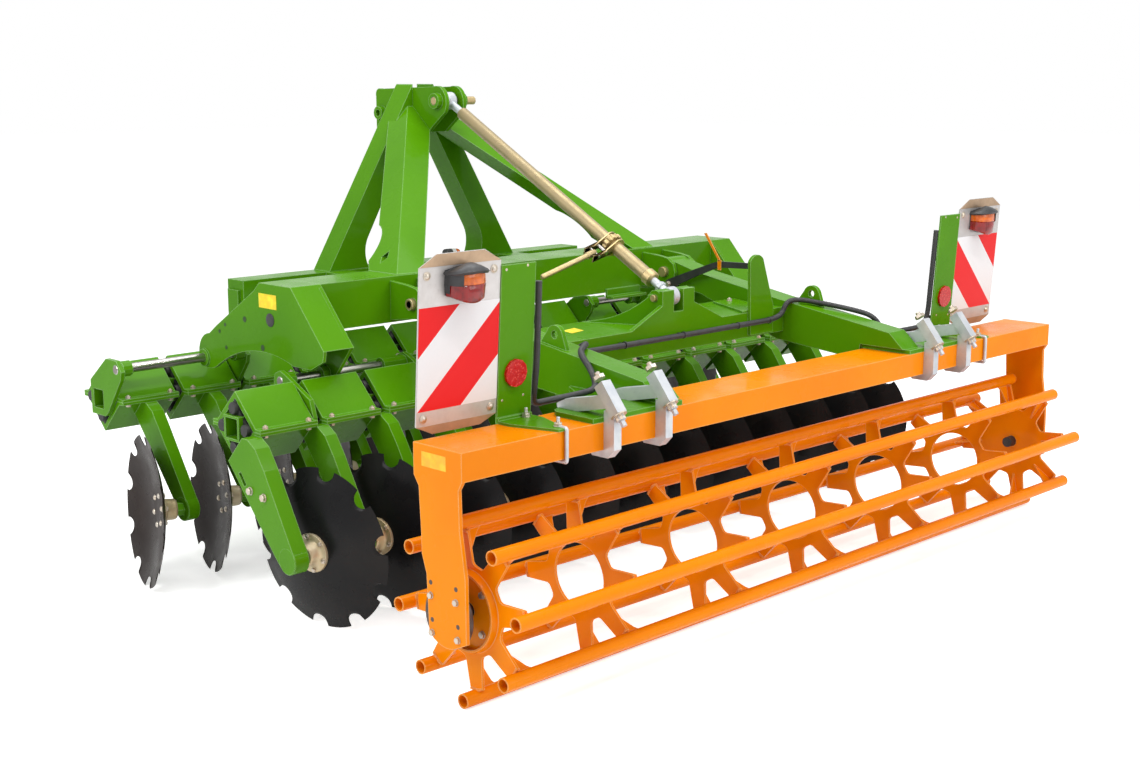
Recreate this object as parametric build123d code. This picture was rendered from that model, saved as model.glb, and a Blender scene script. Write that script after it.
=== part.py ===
from build123d import *
import math
import os

ARC = True

# Disc harrow, 3 m, carried on a three-point hitch. Millimetres.
# Layout frame: x from the machine's middle to its right, y forward from the roller's axle, z up.

# Overall
row_pitch = 250.0
discs_per_row = 12
roller_length = 2950.0
roller_shift = 55.0

# Discs: radius at the tooth corners, dish from rim to pole, half angles of a notch and a tooth
disc_radius = 255.0
disc_dish = 52.0
disc_thick = 5.0
disc_teeth = 10
notch_half = 7.0
notch_radius = 218.0
disc_flat = 68.0
hub_radius = 36.0
hub_sides = 8
camber = 2.5

# Main frame
beam_back = 1150.0
beam_front = 1326.0
beam_low = 842.0
beam_top = 1000.0
cheek_out = 1110.0
cheek_in = cheek_out - 120
nose_back = 1800.0
nose_front = 1900.0
nose_low = 840.0
nose_top = 940.0
nose_half = 860.0

# Tower: pin and bore centres are (y, z)
top_gap = 70.0
top_plate = 17.0
spindle_pin = (1650.0, 1575.0)
spindle_pin_radius = 16.0
link_bore = (1990.0, 1525.0)
link_bore_radius = 13.0
lower_link_half = 412.5
lower_link = (2010.0, 840.0)
lower_pin_radius = 14.0

# Gangs: tube and guide shaft centres are (y, z)
gang_tube = 80.0
gang_wall = 8.0
shaft_radius = 16.0
shaft_gap = 0.1
shaft_sides = 12
cover_length = 215.0
cover_inner = 92.0
cover_outer = 105.0
rubber_radius = 21.0

# Carrier: pivot and eye pin centres are (y, z)
pivot = (1030.0, 917.0)
pivot_radius = 20.0
arm_in = 587.0
arm_out = 683.0
cross_back = 460.0
cross_front = 730.0
cross_low = 745.0
cross_top = 835.0
eye_pin = (496.0, 929.0)
eye_pin_radius = 12.0
roller_beam = (-81.0, 110.0, 641.0, 721.0)
post_face = roller_length / 2 + 40
post_thick = 12.0

# Roller
axle_height = 258.5
axle_radius = 20.0
star_end = roller_length / 2 - 55
star_pitch = roller_length / 5.9
cage_radius = 239.0
cage_tube = 21.0
cage_wall = 3.0
cage_tubes = 8
cage_phase = 38.1
cage_twist = -3.8
star_thick = 8.0
tube_sides = 8
star_ring = 128.0
star_arm_root = 32.0
star_arm_tip = 24.0


def outline_face(points):
    """A face from (u, v) points; a third value marks the middle point of an arc."""
    edges = []
    k = 0
    while k < len(points):
        here = points[k]
        ahead = points[(k + 1) % len(points)]
        if len(ahead) == 3:
            beyond = points[(k + 2) % len(points)]
            edges.append(ThreePointArc(here, ahead[:2], beyond))
            k += 2
        else:
            edges.append(Line(here, ahead))
            k += 1
    return make_face(edges)


def prism(points, x0, x1):
    """An outline of (y, z) points, from x0 to x1."""
    face = Plane.YZ * outline_face(points)
    return Pos(x0, 0, 0) * extrude(face, x1 - x0, dir=(1, 0, 0))


def slab(points, z0, z1):
    """An outline of (x, y) points, from z0 to z1."""
    return Pos(0, 0, z0) * extrude(outline_face(points), z1 - z0, dir=(0, 0, 1))


def curtain(points, y0, y1):
    """An outline of (x, z) points, from y0 to y1."""
    face = Plane.XZ * outline_face(points)
    return Pos(0, y0, 0) * extrude(face, y1 - y0, dir=(0, 1, 0))


def block(x0, x1, y0, y1, z0, z1):
    centre = Pos((x0 + x1) / 2, (y0 + y1) / 2, (z0 + z1) / 2)
    return centre * Box(x1 - x0, y1 - y0, z1 - z0)


def rod(p, q, radius):
    """A round bar from point p to point q."""
    p, q = Vector(*p), Vector(*q)
    return extrude(Plane(origin=p, z_dir=(q - p)) * Circle(radius), (q - p).length)


def facet_rod(p, q, radius, sides):
    """A bar of a regular polygon from point p to point q."""
    p, q = Vector(*p), Vector(*q)
    return extrude(Plane(origin=p, z_dir=(q - p)) * RegularPolygon(radius, sides), (q - p).length)


def xrod(x0, x1, at, radius):
    """A round bar along x, centred on at = (y, z)."""
    return rod((x0, at[0], at[1]), (x1, at[0], at[1]), radius)


def xbar(x0, x1, at, radius, sides=16):
    """A many-sided bar along x, radius to its corners."""
    return facet_rod((x0, at[0], at[1]), (x1, at[0], at[1]), radius, sides)


def xhole(x0, x1, at, radius, sides=16):
    """A many-sided hole along x, radius to its flats."""
    return xbar(x0, x1, at, radius / math.cos(math.pi / sides), sides)


def strut(p, q, width, depth, side=(1, 0, 0)):
    """A rectangular bar from p to q, its width along side."""
    p, q = Vector(*p), Vector(*q)
    plane = Plane(origin=p, x_dir=side, z_dir=(q - p))
    return extrude(plane * Rectangle(width, depth), (q - p).length)


def both(shape):
    """The shape and its mirror image across the machine's middle."""
    return [shape, mirror(shape, Plane.YZ)]


def moved(points, centre):
    """The outline's points from a centre, arc marks kept."""
    return [(centre[0] + point[0], centre[1] + point[1], *point[2:]) for point in points]


parts = {}


def add(name, *shapes):
    """Names a node and gathers its solids."""
    found = []
    for shape in shapes:
        for piece in shape if isinstance(shape, (list, tuple)) else [shape]:
            found += piece.solids()
    parts[name] = found


# Main beam
beam = block(-cheek_in, cheek_in, beam_back, beam_front, beam_low, beam_top)
stop_outline = [(0, 14), (0, -22), (-42, -22), (-42, -12), (-8, -12), (-8, 14)]
stop = prism(moved(stop_outline, (beam_back, beam_low)), 360, 550)
add("main_beam", beam + stop)

# Cheeks: an outer and an inner plate joined by sloping strips, with the bosses that guide the gang shafts
rear_shaft = (1120.0, 706.0)
front_shaft = (1672.0, 707.0)
cheek_outline = [
    (beam_front, beam_top), (1360, 969), (1596, 826), (1640, 796), (1706, 745, ARC), (1702, 690),
    (1650, 672, ARC), (1592, 690), (1400, 762, ARC), (1146, 742), (1050, 742), (985, 775), (978, 810),
    (beam_back, beam_top),
]
inner_outline = [
    (beam_front, beam_top - 10), (1340, 900), (1340, 770), (1160, 672), (1120, 664, ARC), (1084, 684),
    (978, 810), (beam_back - 10, beam_top - 10),
]
outer_plate = prism(cheek_outline, cheek_out - 12, cheek_out)
inner_plate = prism(inner_outline, cheek_in, cheek_in + 14)
roof = block(cheek_in, cheek_out, beam_back, beam_front, beam_top - 10, beam_top)
rear_strip = [(beam_back, beam_top), (978, 810), (989, 806), (beam_back + 12, beam_top - 10)]
front_strip = [
    (beam_front, beam_top), (1360, 969), (1596, 826), (1590, 816), (1354, 959), (beam_front, beam_top - 12),
]
cheek = outer_plate + inner_plate + roof
cheek = cheek + prism(rear_strip, cheek_in, cheek_out) + prism(front_strip, cheek_out - 60, cheek_out)
cheek = cheek + xbar(cheek_in - 10, cheek_in + 42, rear_shaft, 34, 12)
cheek = cheek + xbar(cheek_out - 62, cheek_out + 8, front_shaft, 31, 12)
for at in (rear_shaft, front_shaft):
    cheek = cheek - xbar(cheek_in - 100, cheek_out + 100, at, shaft_radius + shaft_gap, shaft_sides)
add("cheeks", both(cheek))

# Nose beam in front, with two rails to the main beam and two stays to the cheeks
nose = block(-nose_half, nose_half, nose_back, nose_front, nose_low, nose_top)
stay_end = cheek_out - 12
stay_back = beam_front + 34
stay_outline = [
    (nose_half - 90, nose_back), (nose_half, nose_back), (stay_end, stay_back + 80), (stay_end, stay_back),
]
stay = slab(stay_outline, beam_low, beam_low + 16)
web = block(stay_end - 18, stay_end, stay_back, stay_back + 78, beam_low - 62, beam_low + 8)
for piece in both(block(390, 490, beam_front, nose_back, 850, nose_top)) + both(stay + web):
    nose = nose + piece
add("nose_beam", nose)

# Tower legs: on each side a front and a rear box leg lean in to the bracket and meet there
bracket_face = top_gap / 2 + top_plate
leg_width = 120.0
leg_depth = 100.0
rear_foot = 655.0
front_foot = 475.0
leg_head = 1600.0
rear_lean = 1.0415
rear_rake = 1.1406
front_lean = 0.606
rear_top = beam_top + (rear_foot - bracket_face) / rear_lean
rear_view = [
    (rear_foot, beam_top), (bracket_face, rear_top), (bracket_face, rear_top - leg_width / rear_lean),
    (rear_foot - leg_width, beam_top),
]
rear_side = [
    (beam_back + 19, beam_top), (beam_back + 19 + rear_rake * (leg_head - beam_top), leg_head),
    (beam_back + 130 + rear_rake * (leg_head - beam_top), leg_head), (beam_front + 125, beam_top + 142),
    (beam_front + 52, beam_top + 86, ARC), (beam_front + 40, beam_top + 30),
    (beam_front, beam_top),
]
front_top = nose_top + (front_foot - bracket_face) / front_lean
front_view = [
    (front_foot, nose_top), (bracket_face, front_top), (bracket_face, front_top - 170),
    (front_foot - 190, nose_top + 122), (front_foot - 175, nose_top + 80, ARC), (front_foot - 191, nose_top),
]
rear_leg = curtain(rear_view, beam_back, nose_front + 200) & prism(rear_side, 0, rear_foot + 45)
slot_outline = [(-16, 0), (0, 20), (16, 0), (0, -20)]
foot_slot = prism(moved(slot_outline, (beam_front - 30, beam_top + 46)), 400, rear_foot + 45)
front_leg = curtain(front_view, nose_front - leg_depth, nose_front)
leg = rear_leg - foot_slot + front_leg
leg = leg - xbar(0, 200, spindle_pin, 34, 12) - xbar(0, 200, link_bore, 30, 12)
add("tower_legs", both(leg))

# Top bracket: two plates with the spindle pin behind and the top link bore in front
bracket_outline = [
    (1676, 1629), (2000, 1619), (2026, 1612, ARC), (2030, 1590), (2030, 1468), (1950, 1440), (1712, 1456),
    (1612, 1532), (1602, 1570, ARC), (1612, 1604), (1640, 1628, ARC),
]
side_plate = prism(bracket_outline, top_gap / 2, top_gap / 2 + top_plate)
side_plate = side_plate + xbar(top_gap / 2, top_gap / 2 + 40, spindle_pin, 30, 12)
side_plate = side_plate + xbar(top_gap / 2, top_gap / 2 + 42, link_bore, 26, 12)
side_plate = side_plate - xhole(0, 200, spindle_pin, spindle_pin_radius + 0.05, 12)
side_plate = side_plate - xrod(0, 200, link_bore, link_bore_radius)
tie = block(-top_gap / 2, top_gap / 2, 1900, 1918, 1446, 1468)
add("top_bracket", both(side_plate) + [tie])

# Lower link lugs in front of the nose beam
lug_outline = [
    (nose_back + 20, nose_low), (nose_back + 20, 780), (1990, 780), (2050, 805), (2050, 880),
    (1960, nose_top), (nose_front, nose_top), (nose_front, nose_low),
]
lugs = []
lug_thick = 18.0
free_pin = 84.0
pin_shank = 16.0
lug_face = lower_link_half - free_pin / 2
for edge in (lug_face - lug_thick, lug_face - 70):
    lug = prism(lug_outline, edge, edge + lug_thick)
    lugs += both(lug - xhole(edge - 5, edge + 30, lower_link, pin_shank + 0.05, 12))
add("lower_link_lugs", lugs)

# Pivot brackets for the carrier arms, on the main beam's back
pivot_outline = [
    (beam_back, 985), (beam_back, 850), (1060, 862), (1008, 868), (985, 885), (977, 917), (987, 950),
    (1015, 970), (1060, 978),
]
brackets = []
for edge in (arm_in - 18, arm_out + 3):
    plate = prism(pivot_outline, edge, edge + 15)
    brackets += both(plate - xhole(edge - 5, edge + 25, pivot, pivot_radius + 0.05, 12))
add("pivot_brackets", brackets)

# Pins held by the frame: spindle pin, carrier pivots and lower link pins
pins = [xbar(-75, 130, spindle_pin, spindle_pin_radius, 12)]
pins += both(xbar(arm_in - 36, arm_out + 36, pivot, pivot_radius, 12))
shank = xbar(lug_face - 86, lug_face, lower_link, pin_shank, 12)
pins += both(shank + xrod(lug_face, lug_face + free_pin, lower_link, lower_pin_radius))
add("frame_pins", pins)

# Front marker lamps and the posts at the nose beam's ends
add("marker_lamps", block(125, 205, nose_back + 12, nose_back + 52, nose_top, nose_top + 38))
nose_post = block(nose_half, nose_half + 12, nose_back + 20, nose_back + 85, nose_top - 220, nose_top - 35)
add("nose_posts", both(nose_post))

# Gangs, columns: name, tube centre, shaft centre, row y, first rim x, hub side, angle, hub end, arm offset,
# first cover x, tube ends
gangs = [
    ("rear", (1042.0, 602.0), rear_shaft, 753.0, -1295.0, -1, 12.0, 92.0, 120.0, -1295.0, (-1420, 1580)),
    ("front", (1797.0, 592.0), front_shaft, 1505.0, -1470.0, 1, 17.0, 104.0, 135.0, -1330.0, (-1455, 1545)),
]
# Gang plates, columns: left face x, boss from x, boss to x; each pair of plates carries one guide shaft
plate_table = {
    "rear": [(-1182, -1166, -1132), (-678, -776, -678), (822, 838, 878), (1322, 1240, 1322)],
    "front": [(-1455, -1439, -1404), (-963, -1000, -963), (787, 803, 840), (1287, 1250, 1287)],
}
plate_outlines = {
    "rear": [(112, 104), (104, 128), (78, 139), (52, 130), (-80, 66), (-98, 10), (-98, -4), (-44, -58),
             (44, -58), (88, 0)],
    "front": [(-62, 145), (-128, 145), (-160, 110), (-152, 80), (-60, -40), (-40, -56), (48, -56), (50, 60)],
}
shell_up = [
    (-130, 0), (-130, 10), (-cover_outer, 10), (0, cover_outer + 10), (cover_outer, 10), (130, 10), (130, 0),
    (cover_inner, 0), (0, cover_inner), (-cover_inner, 0),
]
shell_down = [(y, -z) for y, z in reversed(shell_up)]
hollow_diamond = [(-cover_outer + 1, 0), (0, -cover_outer + 1), (0, 60)]
arm_slot = [(-20, -14), (-8, -22), (20, 14), (8, 22)]
arm_thick = 36.0
arm_width = 44.0


def arm_outline(tube, hub, spread):
    """A disc arm from the lower clamp shell down to its round hub end; spread widens it forwards."""
    y, z = tube
    hy, hz = hub
    return [
        (y - 55 + spread, z - 60 - spread), (hy + 40 + spread * 0.7, hz + 10 - spread * 0.2),
        (hy + 30, hz - 28), (hy - 2, hz - 40), (hy - 34, hz - 20), (hy - 36, hz + 18), (y - 212, z - 96),
        (y - 168, z - 34),
        (y - 128, z - 10), (y - 100, z - 10),
    ]


def hub_axis(side, angle):
    """Unit vector from a disc's rim plane towards its hub."""
    a, c = math.radians(angle), math.radians(camber)
    return Vector(side * math.cos(a) * math.cos(c), -math.sin(a) * math.cos(c), -math.sin(c))


def harrow_disc(axis, hub_end):
    """A dished disc with notches between its teeth, its hub on the bulging side."""
    down = (Vector(0, 0, -1) - axis * (-axis.Z)).normalized()
    across = axis.cross(down)
    turn = math.radians(notch_half)
    x_dir = down * math.cos(turn) + across * math.sin(turn)
    half_tooth = 180.0 / disc_teeth - notch_half
    apothem = disc_radius * math.cos(math.radians(half_tooth))
    corner = apothem / math.cos(math.pi / disc_teeth)
    wide = RegularPolygon(corner, disc_teeth)
    flat_apothem = disc_flat * math.cos(math.pi / disc_teeth)
    lean = math.degrees(math.atan((apothem - flat_apothem) / disc_dish))
    dish = extrude(wide, disc_dish, taper=lean)
    body = dish - Pos(0, 0, -disc_thick) * dish
    mouth_x = disc_radius * math.cos(turn)
    mouth_y = disc_radius * math.sin(turn)
    slope = mouth_y / (mouth_x - notch_radius)
    reach = disc_radius + 40
    flare = slope * (reach - notch_radius)
    wedge = slab([(notch_radius, 0), (reach, flare), (reach, -flare)], -10, disc_dish + 10)
    body = body - [Rot(0, 0, 360.0 / disc_teeth * k) * wedge for k in range(disc_teeth)]
    body = body + Pos(0, 0, disc_dish) * extrude(RegularPolygon(hub_radius, hub_sides), hub_end - disc_dish)
    return Plane(origin=(0, 0, 0), x_dir=x_dir, z_dir=axis).location * body


for name, tube, shaft, row_y, first_x, side, angle, hub_end, arm_offset, first_cover, ends in gangs:
    ty, tz = tube
    axis = hub_axis(side, angle)
    disc = harrow_disc(axis, hub_end)
    half = gang_tube / 2
    hollow = half - gang_wall
    bore = block(ends[0] - 60, ends[1] + 60, ty - hollow, ty + hollow, tz - hollow, tz + hollow)
    frame = block(ends[0], ends[1], ty - half, ty + half, tz - half, tz + half)
    for face_x, boss_0, boss_1 in plate_table[name]:
        frame = frame + prism(moved(plate_outlines[name], tube), face_x, face_x + 16)
        frame = frame + xbar(boss_0, boss_1, shaft, 27, shaft_sides)
    frame = frame - bore - xbar(-1500, 1500, shaft, shaft_radius + 0.05, shaft_sides)
    add(name + "_gang_tube", frame)
    shafts = []
    for left, right in (plate_table[name][:2], plate_table[name][2:]):
        shafts.append(xbar(left[0] - 2, right[0] + 18, shaft, shaft_radius, shaft_sides))
    add(name + "_gang_shafts", shafts)
    covers, arms = [], []
    for k in range(discs_per_row):
        x = first_cover + row_pitch * k
        rim = Vector(first_x + row_pitch * k, row_y, disc_radius)
        boss = rim + axis * 138
        covers.append(prism(moved(shell_up, tube), x - cover_length / 2, x + cover_length / 2))
        shell = prism(moved(shell_down, tube), x - cover_length / 2, x + cover_length / 2)
        hy, hz = boss.Y, boss.Z
        near = arm_offset - arm_thick / 2
        faces = sorted((rim.X + side * near, rim.X + side * (near + arm_width)))
        inside = prism(moved(hollow_diamond, tube), faces[0] - 10, faces[1] + 1)
        arm = prism(arm_outline(tube, (hy, hz), 0), *faces) - inside
        stub = facet_rod(tuple(rim + axis * (hub_end + 0.3)), tuple(rim + axis * 130), 24, 6)
        arm = shell + arm + stub
        if name == "rear" and k == 0:
            wide = prism(arm_outline(tube, (hy, hz), 34), faces[0] - 8, faces[0])
            arm = arm + (wide - inside)
            slot = prism(moved(arm_slot, (947, 463)), faces[0] - 9, faces[0] + 6)
            arm = arm - slot
        arms.append(arm)
        tag = f"{name}_disc_{k + 1:02d}"
        add(tag, Pos(*tuple(rim)) * disc)
    add(name + "_gang_covers", covers)
    add(name + "_gang_arms", arms)
    rubbers = []
    for k in range(discs_per_row):
        x = first_cover + row_pitch * k
        for quarter in range(4):
            squeezed = [(-34, half), (34, half), (0, cover_inner - 0.1)]
            for _ in range(quarter):
                squeezed = [(-z, y) for y, z in squeezed]
            end = cover_length / 2 + 1
            rubbers.append(prism(moved(squeezed, tube), x - end, x + end))
    add(name + "_gang_rubbers", rubbers)

# Carrier arms with their clamp plates over the roller beam
beam_y0, beam_y1, beam_z0, beam_z1 = roller_beam
plate_top = beam_z1 + 15
carrier_outline = [
    (1083, 917), (1060, 966, ARC), (1012, 962), (871, 925), (488, 862), (0, 790), (-60, plate_top),
    (118, plate_top), (126, 685), (210, 688), (490, 713), (860, 845), (1000, 866), (1068, 882, ARC),
]
arm = prism(carrier_outline, arm_in, arm_out) - xhole(arm_in - 5, arm_out + 5, pivot, pivot_radius + 0.1, 12)
plate_outline = [
    (arm_in + 13, beam_y0), (arm_in + 13, 300), (arm_out + 7, 300), (arm_out + 92, 165), (arm_out + 277, 88),
    (arm_out + 292, 66), (arm_out + 292, beam_y0),
]
clamp_plate = slab(plate_outline, beam_z1, plate_top)
eye_outline = [(330, 830), (352, 892), (385, 914, ARC), (418, 892), (450, 850)]
lift_eye = prism(eye_outline, arm_out - 30, arm_out - 14)
lift_eye = lift_eye - xbar(arm_out - 40, arm_out, (385, 884), 13, 8)
carrier_arm = arm + clamp_plate + lift_eye
cross = block(-arm_in, arm_in, cross_back, cross_front, cross_low, cross_top)
add("carrier_arms", both(carrier_arm))

# Cross tube with the spindle's lug
lug_eye = 28.0
lug_outline = [
    (-330, cross_top - 45), (-200, cross_top + 16, ARC), (-82, 905), (-82, 955), (-24, 955), (-24, 880),
    (24, 880), (24, 955), (82, 955), (82, 905), (200, cross_top + 16, ARC), (330, cross_top - 45),
]
lug_back = curtain(lug_outline, cross_back, cross_back + 16)
wing = slab([(-195, cross_front), (-195, cross_front - 14), (-82, eye_pin[0] - 8), (-68, eye_pin[0] - 8)],
            cross_top - 1, 940)
wing_sky = [
    (eye_pin[0] + 20, 1000), (eye_pin[0] + 20, 932), (600, 872, ARC), (cross_front, cross_top + 2),
    (cross_front + 20, cross_top + 2), (cross_front + 20, 1000),
]
wing = wing - prism(wing_sky, -300, 300)
cheek_web = block(-82, -24, cross_back, eye_pin[0] + 26, cross_top - 5, eye_pin[1])
lug_half = wing + cheek_web + xbar(-82, -24, eye_pin, lug_eye, 12)
bar_outline = [
    (380, cross_low + 8), (372, 1018), (385, 1033, ARC), (446, 1024), (510, 850), (510, cross_low + 8),
]
flat_bar = curtain(bar_outline, cross_back - 12, cross_back)
lug_group = cross + lug_back + both(lug_half)[0] + both(lug_half)[1] + flat_bar
lug_group = lug_group - xhole(-200, 200, eye_pin, eye_pin_radius + 0.05, 12)
add("cross_tube", lug_group)
add("eye_pin", xbar(-94, 94, eye_pin, eye_pin_radius, 12))

# Roller beam with its two side posts, moved sideways with the roller
shift = Pos(roller_shift, 0, 0)
post_outline = [
    (112, 721), (112, 632), (92, 604), (85, 475), (84, 420), (66, 368), (58, 208), (0, 178, ARC), (-60, 190),
    (-92, 205), (-90, 385), (-70, 510), (-67, 619), (-81, 641), (-81, 721),
]
roller_frame = block(-post_face, post_face, beam_y0, beam_y1, beam_z0, beam_z1)
for x in (-post_face, post_face - post_thick):
    roller_frame = roller_frame + prism(post_outline, x, x + post_thick)
add("roller_frame", shift * roller_frame)

# Bearings between the posts and the cage's end stars
axle = (0.0, axle_height)
bearing = xbar(star_end + 22, post_face - post_thick, axle, 62, 12)
bearing = bearing + xbar(star_end - 40, star_end + 22, axle, axle_radius, 12)
add("roller_bearings", shift * bearing, shift * mirror(bearing, Plane.YZ))

# Claw clamps: a finger on the plate, a hook round the beam and a leaning bolt through both
claw_half = 15.0
finger_outline = [
    (104, plate_top), (106, plate_top + 12), (70, plate_top + 30), (-40, plate_top + 52),
    (-72, plate_top + 64), (-98, plate_top + 40), (-82, plate_top + 22), (20, plate_top),
]
hook_outline = [
    (beam_y0, plate_top + 18), (beam_y0, beam_z0), (-30, beam_z0), (-26, beam_z0 - 12), (-36, beam_z0 - 22),
    (-96, beam_z0 - 22), (-121, beam_z0 + 4), (-121, plate_top + 4), (-112, plate_top + 22),
]
claws = []
for x in (-arm_out - 235, -arm_out - 19, arm_out + 19, arm_out + 235):
    claw = prism(finger_outline, x - claw_half, x + claw_half)
    claw = claw + prism(hook_outline, x - claw_half, x + claw_half)
    claw = claw + strut((x, -60, 826), (x, -124, 746), 36, 36)
    claw = claw + facet_rod((x, -124, 746), (x, -136, 731), 15, 6)
    claw = claw + facet_rod((x, -136, 731), (x, -147, 717), 9, 6)
    claws.append(claw)
add("claw_clamps", claws)

# Warning boards with their brackets, reflectors and lamps: the board leans back a little
board_in = arm_out + 477
board_out = board_in + 288
plate_edge = board_in - 129
face_foot, face_head, face_top = 118.0, 92.0, 1165.0


def board_face(z):
    """The y of the board bracket's front face at height z."""
    return face_foot - (face_foot - face_head) * (z - plate_top) / (face_top - plate_top)


bracket_section = [
    (face_foot, plate_top), (face_head, face_top), (face_head - 6, face_top), (face_foot - 6, plate_top),
]
bracket = prism(bracket_section, plate_edge, board_in)
foot_outline = [
    (plate_edge, 118), (board_in, 118), (board_in, 60), (board_in - 48, -85), (board_in - 75, -85),
    (plate_edge, 60),
]
foot = slab(foot_outline, beam_z1, beam_z1 + 8)
post_foot = block(plate_edge, board_in, 106, 118, beam_z1, plate_top + 1)
add("board_brackets", both(bracket + foot + post_foot))
board_low, board_high, board_foot = 755.0, 1181.0, 118.0
board_tilt = math.degrees(math.atan(26 / (board_high - board_low)))
board_height = board_high - board_low
leaning = Pos(0, board_foot, board_low) * Rot(board_tilt, 0, 0)
board_outline = [
    (board_in, 0), (board_in + 62, -26), (board_out - 58, -26), (board_out, 0), (board_out, board_height),
    (board_out - 60, board_height + 34), (board_in + 60, board_height + 34), (board_in, board_height),
]
board = curtain(board_outline, -4, 0)
add("warning_boards", both(leaning * board))
lamp_x, lamp_z, lamp_half = board_in + 143, 377.0, 79.0
lamp_outline = [
    (lamp_x - lamp_half, lamp_z - 30), (lamp_x, lamp_z - 52, ARC), (lamp_x + lamp_half, lamp_z - 30),
    (lamp_x + lamp_half, lamp_z + 26), (lamp_x, lamp_z + 50, ARC), (lamp_x - lamp_half, lamp_z + 26),
]
lamp = curtain(lamp_outline, -52, -4)
add("tail_lamps", both(leaning * lamp))
reflector_face = board_face(859) - 6
lean_axis = Vector(0, face_top - plate_top, face_foot - face_head).normalized()
reflector_at = Vector(board_in - 62, reflector_face, 859)
reflector = facet_rod(tuple(reflector_at), tuple(reflector_at - lean_axis * 9), 40, 12)
add("reflectors", both(reflector))

# Lamp conduit, clipped all the way: down the near bracket, over the near arm, along the cross tube and back
conduit_radius = 10.0
conduit_rise = 14.0
line_y = 118 + conduit_rise
line_z = plate_top + conduit_rise + 2
drop_x = plate_edge + 16
conduit_points = [
    (-drop_x, line_y - 24, 1110), (-drop_x, line_y, line_z), (-arm_out - 60, line_y, line_z),
    (-arm_out - 17, 250, 846), (27 - arm_in, 330, 856), (27 - arm_in, cross_back - 24, 800),
    (arm_in - 47, cross_back - 24, 800), (arm_in - 17, cross_back - 24, 868), (arm_in + 38, 400, 863),
    (arm_out + 22, 140, 826), (arm_out + 77, line_y, line_z), (drop_x, line_y, line_z),
    (drop_x, line_y - 24, 1110),
]
conduit_bends = [34, 34, 34, 34, 34, 34, 28, 24, 34, 28, 34]
path = FilletPolyline(*conduit_points, radius=conduit_bends)
print("conduit bend radii", conduit_bends)
first = Plane(origin=path @ 0, z_dir=path % 0)
conduit = sweep(first * RegularPolygon(conduit_radius, 5), path=path)
clips = []
for x in (-arm_in * 0.5, 0, arm_in * 0.5):
    clips.append(block(x - 8, x + 8, cross_back - 36, cross_back, 788, 812))
for x in (-drop_x, drop_x):
    clips.append(block(x - 12, x + 12, board_face(1000), 118, 1000, 1012))
    clips.append(block(x - 12, x + 12, board_face(780), 134, 780, 792))
for x, y, z in ((-635, 287, 850), (640, 350, 856), (668, 260, 844)):
    clips.append(block(x - 8, x + 8, y - 8, y + 8, 790 + (y + 8) * 72 / 488, z))
for clip in clips:
    conduit = conduit + clip
add("lamp_conduit", conduit)

# Roller cage
cage = None
tubes = []
for k in range(cage_tubes):
    ends_xyz = []
    for x, extra in ((-roller_length / 2, 0.0), (roller_length / 2, cage_twist)):
        a = math.radians(cage_phase + extra - 360.0 / cage_tubes * k)
        ends_xyz.append((x, cage_radius * math.cos(a), axle_height + cage_radius * math.sin(a)))
    tube = facet_rod(*ends_xyz, cage_tube, tube_sides)
    tubes.append(tube - facet_rod(*ends_xyz, cage_tube - cage_wall, tube_sides))
stars = []
# Stars, columns: star x, centre hole radius
axle_hole = axle_radius + 0.1
arm_end = cage_radius - 19.5
star_table = [(-star_end, axle_hole), (star_end, axle_hole)]
star_table += [(star_pitch * k, 98.0) for k in range(-2, 3)]
star_table.sort()
for x, hole in star_table:
    turn = cage_phase + cage_twist * (x + roller_length / 2) / roller_length
    outline = []
    for k in range(cage_tubes):
        a = math.radians(turn - 360.0 / cage_tubes * k)
        way, side = Vector(math.cos(a), math.sin(a)), Vector(math.sin(a), -math.cos(a))
        root = math.sqrt(star_ring ** 2 - star_arm_root ** 2)
        corners = [way * root - side * star_arm_root, way * arm_end - side * star_arm_tip,
                   way * arm_end + side * star_arm_tip, way * root + side * star_arm_root]
        outline += [(point.X, point.Y, 0) for point in corners]
    plate = extrude(make_face(Polyline(*outline, close=True)), star_thick)
    plate = plate - Pos(0, 0, -1) * extrude(RegularPolygon(hole / math.cos(math.pi / 12), 12), star_thick + 2)
    plane = Plane(origin=(x - star_thick / 2, 0, axle_height), x_dir=(0, 1, 0), z_dir=(1, 0, 0))
    star = plane.location * plate
    if hole < 90:
        cup = xbar(min(x, x - 24 * x / star_end), max(x, x - 24 * x / star_end), axle, 118, 12)
        star = star + (cup - xbar(x - 30, x + 30, axle, axle_hole / math.cos(math.pi / 12), 12))
    stars.append(star)
cage = stars[0]
for piece in stars[1:] + tubes:
    cage = cage + piece
add("roller_cage", shift * cage)

# Spindle between tower and lug: tube with its top eye and ratchet, and the rod with its lower eye
reach = math.hypot(eye_pin[0] - spindle_pin[0], eye_pin[1] - spindle_pin[1])
along = Vector(0, (eye_pin[0] - spindle_pin[0]) / reach, (eye_pin[1] - spindle_pin[1]) / reach)
start = Vector(0, *spindle_pin)
finish = Vector(0, *eye_pin)
tube_from, tube_to, spindle_radius, rod_radius = 95.0, reach - 118.0, 24.0, 14.0
body = facet_rod(tuple(start + along * tube_from), tuple(start + along * tube_to), spindle_radius, 12)
body = body + facet_rod(tuple(start + along * 20), tuple(start + along * (tube_from + 1)), 15, 10)
body = body + xbar(-22, 22, spindle_pin, 34, 12) - xhole(-50, 50, spindle_pin, spindle_pin_radius + 0.05, 12)
body = body + facet_rod(tuple(start + along * (tube_to - 1)), tuple(start + along * (tube_to + 26)), 30, 6)
mid = start + along * 1010
body = body + facet_rod(tuple(mid - along * 30), tuple(mid + along * 30), 40, 10)
grip = Vector(-343, 780, 997)
pawl = mid + (grip - mid) * 0.42
body = body + strut(tuple(mid), tuple(pawl), 34, 44, tuple(along))
body = body + facet_rod(tuple(pawl), tuple(grip), 10, 8)
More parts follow.
